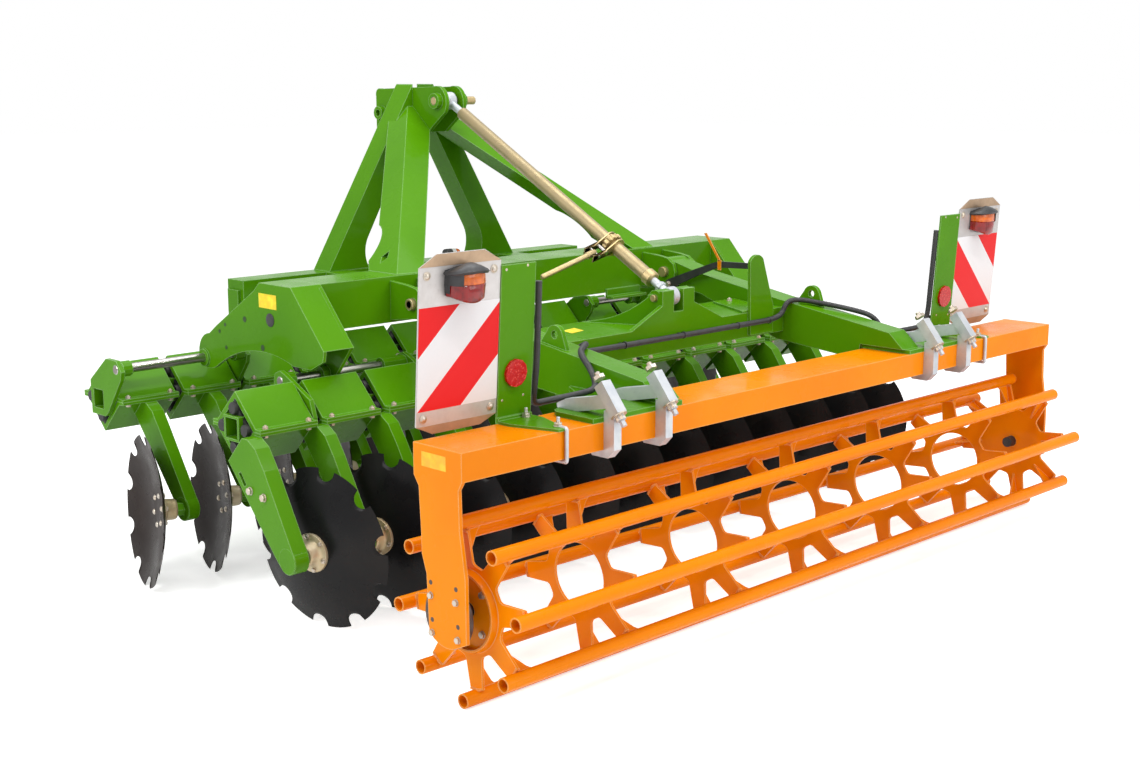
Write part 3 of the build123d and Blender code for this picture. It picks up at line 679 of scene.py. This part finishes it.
def ribbed_tube(shape, points, radius, groove, pitch, material, sides=14):
    """A corrugated tube along closely spaced points."""
    dense = []
    for a, b in zip(points, points[1:]):
        steps = max(1, round((b - a).length / (pitch / 4)))
        dense += [a.lerp(b, k / steps) for k in range(steps)]
    dense.append(points[-1])
    normal = (dense[1] - dense[0]).orthogonal().normalized()
    rings = []
    for k, here in enumerate(dense):
        ahead = dense[min(k + 1, len(dense) - 1)] - dense[max(k - 1, 0)]
        ahead.normalize()
        normal = (normal - ahead * normal.dot(ahead)).normalized()
        side = ahead.cross(normal)
        r = radius - groove * (0.0, 0.5, 1.0, 0.5)[k % 4]
        rings.append(circle(here, normal, side, r, sides))
    shape.rings(rings, material)


def round_rod(shape, line, radius, material, sides=12):
    """A round rod bent along a line that lies in a plane across x."""
    across = Vector((1, 0, 0))
    rings = []
    for k, here in enumerate(line):
        ahead = (line[min(k + 1, len(line) - 1)] - line[max(k - 1, 0)]).normalized()
        rings.append(circle(here, across, ahead.cross(across), radius, sides))
    shape.rings(rings, material)


def smooth_path(name, points):
    """Points read along a NURBS line through the route."""
    curve = bpy.data.curves.new(name, "CURVE")
    curve.dimensions = "3D"
    curve.resolution_u = 12
    spline = curve.splines.new("NURBS")
    spline.points.add(len(points) - 1)
    for point, place in zip(spline.points, points):
        point.co = (*place, 1.0)
    spline.order_u = 3
    spline.use_endpoint_u = True
    holder = bpy.data.objects.new(name, curve)
    mesh = bpy.data.meshes.new_from_object(holder)
    found = [v.co.copy() for v in mesh.vertices]
    bpy.data.objects.remove(holder)
    bpy.data.curves.remove(curve)
    bpy.data.meshes.remove(mesh)
    return found


# Cage roller: smooth tubes on star plates, with fins, cups and weld seams

CAGE_MIDDLE, AXLE = 0.055, 0.2585
CAGE_RADIUS, CAGE_TUBE, CAGE_BORE, CAGE_HALF = 0.239, 0.021, 0.0172, 1.475
CAGE_TUBES, CAGE_PHASE, CAGE_TWIST = 8, 38.1, 3.8
STARS = (-1.42, -1.0, -0.5, 0.0, 0.5, 1.0, 1.42)
STAR_HALF, STAR_REACH = 0.004, 0.2195
STAR_BORE, END_STAR_BORE = 0.098, 0.021
FIN_REACH = 0.062
STAR_ARM = ((0.124, -0.043), (0.128, -0.036), (0.136, -0.0315), (0.2197, -0.024), (0.2205, -0.01),
            (0.2205, 0.01), (0.2197, 0.024), (0.136, 0.0315), (0.128, 0.036), (0.124, 0.043))


def cage_angle(k, x):
    """The angle of tube k at x, with the cage's slight twist."""
    return radians(CAGE_PHASE - CAGE_TWIST * (x + CAGE_HALF) / (2 * CAGE_HALF) - 45.0 * k)


cage = Shape("cage_roller_look")
for k in range(CAGE_TUBES):
    ends = []
    for x in (-CAGE_HALF, CAGE_HALF):
        a = cage_angle(k, x)
        ends.append(at(CAGE_MIDDLE + x, CAGE_RADIUS * cos(a), AXLE + CAGE_RADIUS * sin(a)))
    bar(cage, ends[0], ends[1], CAGE_TUBE - 0.0002, orange, 28, inner=CAGE_BORE)
for star in STARS:
    end_star = star in (STARS[0], STARS[-1])
    outline, hole = [], []
    for k in range(CAGE_TUBES):
        a = cage_angle(k, star)
        way, side = Vector((cos(a), sin(a))), Vector((sin(a), -cos(a)))
        for along, across in STAR_ARM:
            point = way * along + side * across
            outline.append(point)
            hole.append(point.normalized() * (END_STAR_BORE if end_star else STAR_BORE))
    x = CAGE_MIDDLE + star
    rings = []
    for points, way in ((outline, -1), (outline, 1), (hole, 1), (hole, -1), (outline, -1)):
        rings.append([at(x + way * STAR_HALF, p.x, AXLE + p.y) for p in points])
    cage.rings(rings, orange, close_start=False, close_end=False)
    reach = -FIN_REACH if star == STARS[-1] else FIN_REACH
    step = copysign(STAR_HALF, reach)
    fin = [(step, 0.128), (step, STAR_REACH), (reach, STAR_REACH), (reach * 0.8, 0.208)]
    for k in range(CAGE_TUBES):
        a = cage_angle(k, star)
        way, side = Vector((0, cos(a), sin(a))), Vector((0, sin(a), -cos(a)))
        root = at(x, 0, AXLE) - side * 0.003
        plate(cage, [root + Vector((dx, 0, 0)) + way * r for dx, r in fin], 0.006, orange)
        seam = at(x, 0, AXLE) + way * 0.2185
        for dx in (-0.0055, 0.0055):
            for lump in range(9):
                u = (lump - 4) / 4.0
                centre = seam + Vector((dx, 0, 0)) + side * u * 0.02 - way * (0.0025 * u * u - 0.002)
                bead = [(0, 0.0012), (0.0015, 0.003), (0.0045, 0.003), (0.006, 0.0012)]
                cage.lathe(centre - side * 0.003, side, bead, orange, 6)
    if end_star:
        away = copysign(1.0, star)
        middle = at(x, 0, AXLE)
        profile = [(0.003, 0.1172), (0.01, 0.1172), (0.0235, 0.111), (0.0235, 0.105), (0.01, 0.1105),
                   (0.0045, 0.1105), (0.0045, 0.024)]
        rings = [upright_circle(middle, away * d, r, 48) for d, r in profile]
        cage.rings(rings, orange, close_start=False, close_end=False)
        for j in range(4):
            a = radians(45 + 90 * j)
            spot = middle + Vector((away * 0.0045, 0.078 * cos(a), 0.078 * sin(a)))
            cage.bolt(spot, (away, 0, 0), 0.017)
bmesh.ops.remove_doubles(cage.mesh, verts=cage.mesh.verts, dist=1e-6)
cage_piece = cage.done("roller", 38.0)
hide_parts("roller_cage")

bearings = Shape("bearing_housings")
for away in (-1.0, 1.0):
    outer = at(CAGE_MIDDLE + away * 1.503, 0, AXLE)
    housing = [(0, 0.0615), (0.014, 0.0615), (0.02, 0.058), (0.022, 0.05), (0.044, 0.046),
               (0.059, 0.04), (0.0605, 0.026), (0.0605, 0.0195), (0.12, 0.0195)]
    bearings.lathe(outer, (-away, 0, 0), housing, black_plastic, 40)
    seal = [(0, 0.031), (0.004, 0.031), (0.006, 0.028)]
    bearings.lathe(outer + Vector((-away * 0.0585, 0, 0)), (-away, 0, 0), seal, steel, 32)
    cover = [(0.0, 0.086), (0.0, 0.087), (0.003, 0.089), (0.016, 0.089), (0.02, 0.085), (0.0215, 0.06)]
    bearings.lathe(outer, (-away, 0, 0), cover, dark_plate_and_hole_shade, 56)
bearing_piece = bearings.done("roller_carrier", 30.0)
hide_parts("roller_bearings")

# Roller posts: bearing bolts, spare holes drawn as dark discs of painted shade, and a blank plate

POST_FACE = 1.515

posts = Shape("post_bolts")
labels = Shape("blank_labels")
for side in (-1.0, 1.0):
    face = CAGE_MIDDLE + side * POST_FACE
    for y, z in ((0.049, 0.311), (-0.053, 0.314), (0.045, 0.208), (-0.059, 0.212)):
        posts.bolt(at(face, y, z), (side, 0, 0), 0.0125 if side > 0 else 0.016)
        # Painted shade: each spare hole is a dark disc on the post's face.
        hole = at(face - side * 0.0005, y, z + 0.036)
        posts.prism(hole, (side, 0, 0), 0.0068, 0.0009, 20, dark_plate_and_hole_shade)
    corners = [at(face, y, z) for y, z in ((-0.02, 0.661), (0.078, 0.661), (0.078, 0.701), (-0.02, 0.701))]
    plate(labels, corners[::int(side)], 0.0006, amber_label)

# Boards: film, tan folded ends, corner bolts; lamps with hoods

LEAN = atan2(0.026, 0.426)
BACK = Vector((0, -cos(LEAN), -sin(LEAN)))
BOARD_Y, BOARD_Z, BOARD_FACE = 0.118, 0.755, 0.004
LAMP_U, LAMP_H = 0.138, 0.377


def on_board(u, out, h, side):
    """A point on a warning board: u outwards from its inner edge, out towards the rear, h up its face."""
    y = BOARD_Y - h * sin(LEAN) - (BOARD_FACE + out) * cos(LEAN)
    z = BOARD_Z + h * cos(LEAN) - (BOARD_FACE + out) * sin(LEAN)
    return at(side * (BOARD_INNER + u), y, z)


def on_face(points, side):
    return [on_board(u, 0.0, h, side) for u, h in points][::int(side)]


def lamp_ring(side, half, depth, h, bow, start, stop, steps=18):
    """A rounded section of the lamp; bow lifts or lowers its ends."""
    ring = []
    for k in range(steps + 1):
        t = start + (stop - start) * k / steps
        bulge = (1 - abs(t) ** 2.4) ** (1 / 2.4)
        ring.append(on_board(LAMP_U + half * t, depth * bulge, LAMP_H + h + bow * t * t, side))
    for t in (stop, start):
        ring.append(on_board(LAMP_U + half * t, 0.0, LAMP_H + h + bow * t * t, side))
    return ring


def lamp_body(side, levels, material, start=-0.985, stop=0.985):
    """Levels are (height, half width, depth, bow)."""
    rings = [lamp_ring(side, half, depth, h, bow, start, stop) for h, half, depth, bow in levels]
    lamps.rings(rings, material)


board_bits = Shape("board_fittings")
film = Shape("board_film")
lamps = Shape("tail_lamp_look")
for side in (-1.0, 1.0):
    striped = [(0.002, 0.04), (0.286, 0.04), (0.286, 0.32), (0.002, 0.32)]
    plate(film, on_face(striped, side), 0.0007, sign)
    for ends in ([(0.0, 0.427), (0.288, 0.427), (0.23, 0.459), (0.062, 0.459)],
                 [(0.06, -0.025), (0.228, -0.025), (0.288, -0.001), (0.0, -0.001)]):
        plate(board_bits, on_face(ends, side), 0.0008, tan_metal)
    for u, h in ((0.026, 0.404), (0.262, 0.404), (0.024, 0.02), (0.264, 0.02)):
        head = [(0, 0.0125), (0.0015, 0.0125), (0.0018, 0.0095), (0.004, 0.0085), (0.006, 0.0055),
                (0.0068, 0.001)]
        board_bits.lathe(on_board(u, 0.0, h, side), BACK, head, bolt_zinc, 20)
    lamp_body(side, [(-0.045, 0.062, 0.01, 0.016), (0.05, 0.064, 0.01, -0.012)], black_plastic)
    lamp_body(side, [(-0.048, 0.055, 0.05, 0.015), (-0.043, 0.06, 0.054, 0.013),
                     (-0.002, 0.0625, 0.056, 0.002), (0.001, 0.06, 0.054, 0.0)], lens_red)
    lamp_body(side, [(0.0015, 0.06, 0.054, 0.0), (0.004, 0.0618, 0.0555, 0.0),
                     (0.034, 0.06, 0.053, -0.006), (0.038, 0.057, 0.05, -0.008)], lens_orange, stop=0.62)
    lamp_body(side, [(-0.001, 0.0635, 0.0565, 0.0), (0.003, 0.065, 0.059, 0.0),
                     (0.036, 0.064, 0.058, -0.01)], black_plastic, start=0.6)
    lamp_body(side, [(-0.04, 0.0625, 0.05, 0.018), (0.001, 0.065, 0.056, 0.0)], black_plastic, start=0.955)
    lamp_body(side, [(0.033, 0.066, 0.062, -0.008), (0.04, 0.069, 0.066, -0.01),
                     (0.048, 0.066, 0.06, -0.014), (0.055, 0.056, 0.044, -0.018),
                     (0.058, 0.04, 0.026, -0.016)], black_plastic)
film.done("roller_carrier")
lamp_piece = lamps.done("roller_carrier", 40.0)
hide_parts("tail_lamps")

# Board bracket: clip holes drawn as black discs of painted shade, foot bolts and the U-bolts round the
# roller beam

FOOT_TOP = 0.729
U_BOLT_X, U_BOLT_RADIUS = 1.086, 0.0058
U_BOLT = [(-0.055, 0.728), (-0.08, 0.728), (-0.0885, 0.727), (-0.0885, 0.714), (-0.0885, 0.65),
          (-0.0885, 0.634), (-0.08, 0.6325), (0.108, 0.6325), (0.118, 0.634), (0.118, 0.65),
          (0.118, 0.715)]

for side in (-1.0, 1.0):
    for x, y in ((1.064, 0.096), (U_BOLT_X, -0.055)):
        spot = at(side * x, y, FOOT_TOP)
        posts.bolt(spot, (0, 0, 1), 0.021, nut=True)
        stud = [(0, 0.0052), (0.013, 0.0052), (0.0145, 0.004)]
        posts.lathe(spot + Vector((0, 0, 0.012)), (0, 0, 1), stud, galvanised, 16)
    u_bolt_line = smooth_path("u_bolt_line", [at(side * U_BOLT_X, y, z) for y, z in U_BOLT])
    round_rod(posts, u_bolt_line, U_BOLT_RADIUS, galvanised)
    for u, h in ((-0.018, 0.398), (-0.098, 0.404), (-0.018, 0.03), (-0.098, 0.036)):
        spot = on_board(u, -0.0015, h, side)
        posts.lathe(spot, BACK, [(0, 0.0072), (0.003, 0.0066), (0.0048, 0.0035)], bolt_zinc, 16)
    # Painted shade: each clip hole is a black disc on the bracket.
    for u, h in ((-0.016, 0.335), (-0.104, 0.33), (-0.104, 0.27), (-0.104, 0.18), (-0.104, 0.12)):
        posts.prism(on_board(u, -0.0015, h, side), BACK, 0.0045, 0.0022, 12, black_plastic)

# Lamp conduit: corrugated tube on its clipped route

route = [
    (-1.019, 0.088, 1.11), (-1.017, 0.098, 0.9), (-1.018, 0.11, 0.8), (-1.008, 0.128, 0.752),
    (-0.94, 0.142, 0.75), (-0.8, 0.138, 0.752), (-0.735, 0.136, 0.758), (-0.702, 0.19, 0.8),
    (-0.69, 0.255, 0.846), (-0.625, 0.3, 0.852), (-0.565, 0.345, 0.85), (-0.552, 0.43, 0.806),
    (-0.5, 0.438, 0.8), (-0.35, 0.436, 0.799), (0.42, 0.436, 0.8), (0.5, 0.435, 0.802),
    (0.545, 0.434, 0.816), (0.566, 0.432, 0.856), (0.598, 0.416, 0.8665), (0.645, 0.35, 0.857),
    (0.69, 0.215, 0.837), (0.712, 0.15, 0.82), (0.745, 0.134, 0.768), (0.8, 0.134, 0.752),
    (0.96, 0.134, 0.75), (1.02, 0.134, 0.754), (1.034, 0.128, 0.8), (1.032, 0.121, 0.9),
    (1.032, 0.106, 1.11),
]
CONDUIT_RADIUS, CONDUIT_GROOVE, CONDUIT_PITCH = 0.01, 0.0013, 0.0056
CLIP_Y, CLIP_Z = 0.436, 0.8

conduit = Shape("lamp_conduit_look")
line = smooth_path("conduit_line", [at(*p) for p in route])
ribbed_tube(conduit, line, CONDUIT_RADIUS, CONDUIT_GROOVE, CONDUIT_PITCH, black_plastic)
for x in (-0.2935, 0.0, 0.2935, 0.47):
    band = [(-0.003, 0.0106), (-0.003, 0.0124), (0.003, 0.0124), (0.003, 0.0106), (-0.003, 0.0106)]
    rings = [upright_circle(at(x, CLIP_Y, CLIP_Z), dx, r, 20) for dx, r in band]
    conduit.rings(rings, black_plastic, close_start=False, close_end=False)
    low, high = at(x - 0.006, CLIP_Y + 0.01, CLIP_Z - 0.006), at(x + 0.006, 0.4602, CLIP_Z + 0.006)
    conduit.box(low, high, black_plastic)
for side in (-1.0, 1.0):
    for z in (0.785, 1.005):
        y = BOARD_Y - 0.026 * (z - 0.736) / 0.429
        low, high = at(side * 1.031, y - 0.0005, z - 0.005), at(side * 1.048, y + 0.014, z + 0.005)
        conduit.box(low, high, black_plastic)
bmesh.ops.remove_doubles(conduit.mesh, verts=conduit.mesh.verts, dist=1e-6)
conduit_piece = conduit.done("roller_carrier", 60.0)
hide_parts("lamp_conduit")

# Spindle: silver rod, tan tube, toothed ratchet with its handle, and the eye bolt below

PIN, EYE = Vector((0, 1.65, 1.575)), Vector((0, EYE_Y, EYE_Z))
RATCHET_AT, RATCHET_RADIUS, RATCHET_STEPS = 0.992, 0.035, 56
down = (EYE - PIN).normalized()
reach = (EYE - PIN).length


def along(d):
    """The point of the spindle's axis at a distance from its upper pin."""
    return at(*(PIN + down * d))


def eye_ring(shape, centre, radius, half, hole, material):
    profile = [(-half, hole), (-half, radius - 0.005), (-half * 0.7, radius), (half * 0.7, radius),
               (half, radius - 0.005), (half, hole), (-half, hole)]
    rings = [upright_circle(centre, dx, r, 32) for dx, r in profile]
    shape.rings(rings, material, close_start=False, close_end=False)


sleeve = Shape("spindle_sleeve_look")
eye_ring(sleeve, at(*PIN), 0.0335, 0.0215, 0.0163, galvanised)
sleeve.prism(along(0.026), down, 0.0145, 0.068, 28, galvanised)
tube = [(0, 0.015), (0.0, 0.0225), (0.003, 0.0238), (reach - 0.118 - 0.092, 0.0238)]
sleeve.lathe(along(0.092), down, tube, tube_zinc, 40)
cap = [(0, 0.0238), (0.004, 0.0285), (0.032, 0.0285), (0.036, 0.024), (0.037, 0.015)]
sleeve.lathe(along(reach - 0.13), down, cap, yellow_zinc, 40)
collar = [(0, 0.024), (0.002, 0.03), (0.01, 0.03), (0.012, 0.025)]
sleeve.lathe(along(0.978), down, collar, yellow_zinc, 36)
gear = []
middle = along(RATCHET_AT)
u = Vector((1, 0, 0))
v = down.cross(u)
for h, lift in ((0.0, 0.0), (0.002, 0.003), (0.018, 0.003), (0.02, 0.0)):
    ring = []
    for k in range(RATCHET_STEPS):
        r = RATCHET_RADIUS + lift + (0.003 if k % 4 in (1, 2) else -0.001)
        a = 2 * pi * k / RATCHET_STEPS
        ring.append(middle + down * h + (u * cos(a) + v * sin(a)) * r)
    gear.append(ring)
sleeve.rings(gear, yellow_zinc, smooth=False)
grip = at(-0.343, 0.78, 0.997)
start = along(RATCHET_AT + 0.01)
way = (grip - start).normalized()
across = way.cross(down).normalized()
for face_at in (0.021, -0.027):
    base = start + down * face_at
    outline = []
    for k in range(10):
        a = pi * (0.5 + k / 9.0)
        outline.append(base + way * 0.04 * cos(a) - across * 0.034 * sin(a))
    outline += [base + way * 0.12 - across * 0.014, base + way * 0.12 + across * 0.014]
    plate(sleeve, outline, 0.005, yellow_zinc)
for out, radius in ((0.052, 0.0075), (0.09, 0.0055)):
    sleeve.prism(start + way * out - down * 0.03, down, radius, 0.058, 18, steel)
length = (grip - start).length
handle = [(0, 0.0105), (0.01, 0.013), (0.04, 0.013), (0.044, 0.0098), (length - 0.095, 0.0098),
          (length - 0.09, 0.007)]
sleeve.lathe(start + way * 0.088, way, handle, yellow_zinc, 24)
sleeve_piece = sleeve.done("spindle_sleeve", 32.0)
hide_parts("spindle_tube")

screw = Shape("spindle_screw_look")
screw.lathe(along(0.905), down, [(0, 0.0138), (reach - 0.905 - 0.028, 0.0138)], galvanised, 32)
thread = [(0, 0.0134), (0.002, 0.0142), (0.004, 0.0134)]
for k in range(9):
    screw.lathe(along(reach - 0.1 + 0.004 * k), down, thread, galvanised, 24)
screw.prism(along(reach - 0.062), down, 0.02, 0.016, 6, galvanised, 0.002)
eye_ring(screw, at(*EYE), 0.0318, 0.0175, 0.015, galvanised)
screw_piece = screw.done("spindle_screw", 32.0)
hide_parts("spindle_rod")

# Round bars in place of the many-sided ones: gang shafts, pins

for row, y, z, spans in (("rear", 1.12, 0.706, ((-1.184, -0.66), (0.82, 1.34))),
                         ("front", 1.672, 0.707, ((-1.457, -0.945), (0.785, 1.305)))):
    shafts = Shape(f"{row}_shaft_look")
    for x0, x1 in spans:
        bar(shafts, at(x0, y, z), at(x1, y, z), 0.0158, steel, 36, 0.002)
        rim = [(0, 0.0128), (0.0006, 0.0128), (0.0006, 0.01)]
        shafts.lathe(at(x0, y, z), (-1, 0, 0), rim, worn_steel, 28)
        shafts.lathe(at(x1, y, z), (1, 0, 0), rim, worn_steel, 28)
    shaft_piece = shafts.done(f"{row}_gang")
    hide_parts(f"{row}_gang_shafts")

HINGE_Y, HINGE_Z = 1.03, 0.917
LINK_Y, LINK_Z = 2.01, 0.84

pins = Shape("frame_pins_look")
bar(pins, at(-0.075, *PIN[1:]), at(0.13, *PIN[1:]), 0.0158, yellow_zinc, 32, 0.002)
for side in (-1.0, 1.0):
    inner, outer = at(side * 0.551, HINGE_Y, HINGE_Z), at(side * 0.719, HINGE_Y, HINGE_Z)
    bar(pins, inner, outer, 0.0198, yellow_zinc, 36, 0.002)
    pins.lathe(outer, (-side, 0, 0), [(0, 0.012), (0.0002, 0.0195)], bolt_zinc, 24)
    inner, step, outer = (at(side * x, LINK_Y, LINK_Z) for x in (0.2845, 0.3705, 0.4545))
    bar(pins, inner, step, 0.0158, yellow_zinc, 32, 0.002)
    bar(pins, step, outer, 0.0139, yellow_zinc, 32, 0.003)
pin_piece = pins.done("main_frame")
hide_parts("frame_pins")

lug_pin = Shape("eye_pin_look")
bar(lug_pin, at(-0.094, EYE_Y, EYE_Z), at(0.094, EYE_Y, EYE_Z), 0.0118, yellow_zinc, 28, 0.001)
for side in (-1.0, 1.0):
    head = [(0, 0.0118), (0, 0.0105), (0.004, 0.011), (0.01, 0.0112), (0.0112, 0.0095)]
    lug_pin.lathe(at(side * 0.0825, EYE_Y, EYE_Z), (side, 0, 0), head, bolt_zinc, 20)
lug_pin_piece = lug_pin.done("roller_carrier")
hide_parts("eye_pin")

# Claw nuts, lever, pointer, tube plate, labels

CLAWS = (-0.918, -0.702, 0.702, 0.918)
LEVER_X, LEVER_THICK = 0.5465, 0.008
PLATE_TOP = 0.8352

for x in CLAWS:
    slant = Vector((0, -0.625, -0.781))
    head = at(x, -0.0515, 0.8365)
    posts.prism(head, slant * -1.0, 0.018, 0.012, 6, bolt_zinc, 0.0015)
    posts.prism(head - slant * 0.012, slant * -1.0, 0.0085, 0.01, 16, bolt_zinc, 0.001)
    posts.prism(at(x, -0.1245, 0.7455), slant, 0.024, 0.004, 24, bolt_zinc)
    posts.prism(at(x, -0.1268, 0.7425), slant, 0.016, 0.014, 6, bolt_zinc, 0.0015)

lever = Shape("depth_lever")
stations = [(1.005, 0.868, 0.019), (0.96, 0.886, 0.019), (0.86, 0.927, 0.015), (0.76, 0.965, 0.0125),
            (0.74, 0.9705, 0.012), (0.7, 0.9725, 0.0115), (0.555, 0.9785, 0.0105)]
near, far = LEVER_X, LEVER_X + LEVER_THICK
rings = []
for y, z, half in stations:
    rings.append([at(near, y, z - half), at(far, y, z - half), at(far, y, z + half), at(near, y, z + half)])
lever.rings(rings, black_plastic, smooth=False)
lever.box(at(0.538, 0.535, 0.958), at(0.562, 0.575, 0.992), black_plastic)
lever.prism(at(0.555, 0.99, 0.874), (1, 0, 0), 0.02, 0.0315, 28, black_plastic)
lever.bolt(at(LEVER_X, 0.99, 0.874), (-1, 0, 0), 0.019)
for outline in (((0.728, 0.985), (0.74, 0.985), (0.812, 1.084), (0.8, 1.086)),
                ((0.726, 0.95), (0.744, 0.95), (0.744, 0.988), (0.726, 0.988))):
    plate(lever, [at(0.545, y, z) for y, z in outline], 0.003, orange)
lever.done("roller_carrier", 30.0)

outline = ((0.35, 0.462), (0.495, 0.462), (0.586, 0.69), (0.47, 0.7))
plate(board_bits, [at(x, y, PLATE_TOP) for x, y in outline], 0.008, green, 0.001)
for x, y in ((0.462, 0.505), (0.52, 0.662)):
    posts.bolt(at(x, y, 0.843), (0, 0, 1), 0.017, nut=True)
for outline in (((-0.4, 0.575), (-0.33, 0.59), (-0.315, 0.65), (-0.385, 0.635)),
                ((0.24, 0.59), (0.31, 0.59), (0.33, 0.65), (0.26, 0.65))):
    plate(labels, [at(x, y, PLATE_TOP) for x, y in outline], 0.0005, yellow_label)
board_bits.done("roller_carrier", 30.0)
posts.done("roller_carrier", 34.0)
labels.done("roller_carrier")

# Front marker lamp, labels and plugs on the main frame

MARKER_Y, MARKER_Z = 1.832, 0.9605
CHEEK_FACE = 1.1101

marker = Shape("marker_lamp_look")
marker.box(at(0.1255, 1.8145, 0.94), at(0.2045, 1.8515, 0.943), black_plastic)
for x, profile, material in (
        (0.127, [(0, 0.0165), (0.003, 0.0175), (0.03, 0.0175), (0.033, 0.015)], black_plastic),
        (0.16, [(0, 0.015), (0.001, 0.0172), (0.018, 0.0172), (0.02, 0.015)], white_plastic),
        (0.18, [(0, 0.0155), (0.012, 0.0155), (0.02, 0.012), (0.0235, 0.005)], lens_orange)):
    marker.lathe(at(x, MARKER_Y, MARKER_Z), (1, 0, 0), profile, material, 28)
marker_piece = marker.done("main_frame", 30.0)
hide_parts("marker_lamps")

frame_bits = Shape("main_frame_fittings")
for side in (-1.0, 1.0):
    x = side * CHEEK_FACE
    label = [at(x, y, z) for y, z in ((1.33, 0.966), (1.33, 0.918), (1.23, 0.918), (1.23, 0.966))]
    plate(frame_bits, label[::int(-side)], 0.0006, yellow_label)
    plug = [(0, 0.0225), (0.0015, 0.0225), (0.0035, 0.0195), (0.0042, 0.012), (0.0042, 0.002)]
    frame_bits.lathe(at(x, 1.268, 0.881), (side, 0, 0), plug, black_plastic, 36)
    # Painted shade: dark green discs on the cheek faces stand for holes.
    for y, z, radius in ((1.418, 0.868, 0.01), (1.538, 0.837, 0.0065), (1.574, 0.81, 0.0065),
                         (1.536, 0.758, 0.007), (1.317, 0.783, 0.0105)):
        frame_bits.prism(at(x, y, z), (side, 0, 0), radius, 0.0006, 24, painted_hole_shade)
frame_bits.done("main_frame", 34.0)

# Round ends of the rubbers in every clamp; round ends of the disc arms, with the first arm's bolts

CLAMP_HALF, RUBBER_OFFSET = 0.1085, 0.062

for row, tube_y, tube_z, first_x in GANGS:
    ends = Shape(f"{row}_rubber_ends")
    for k in range(DISCS):
        for way in (-1.0, 1.0):
            face_x = first_x + DISC_PITCH * k + way * CLAMP_HALF
            for y, z in ((0, 1), (0, -1), (1, 0), (-1, 0)):
                place = at(face_x - way * 0.01, tube_y + y * RUBBER_OFFSET, tube_z + z * RUBBER_OFFSET)
                profile = [(0, 0.0195), (0.0205, 0.0195), (0.023, 0.0175), (0.0232, 0.002)]
                ends.lathe(place, (way, 0, 0), profile, rubber, 22)
    ends.done(f"{row}_gang", 40.0)

for row, first_x, y, z in (("rear", -1.441, 0.7265, 0.25), ("front", -1.353, 1.464, 0.249)):
    arm_ends = Shape(f"{row}_arm_ends")
    for k in range(DISCS):
        outer = 0.0085 if row == "rear" and k == 0 else 0.0008
        x = first_x + DISC_PITCH * k
        bar(arm_ends, at(x - outer, y, z), at(x + 0.0448, y, z), 0.0422, green, 36, 0.0025)
    if row == "rear":
        for y, z in ((0.905, 0.434), (0.834, 0.426)):
            arm_ends.bolt(at(-1.4492, y, z), (-1, 0, 0), 0.021)
    arm_ends.done(f"{row}_gang", 34.0)

low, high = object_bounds()
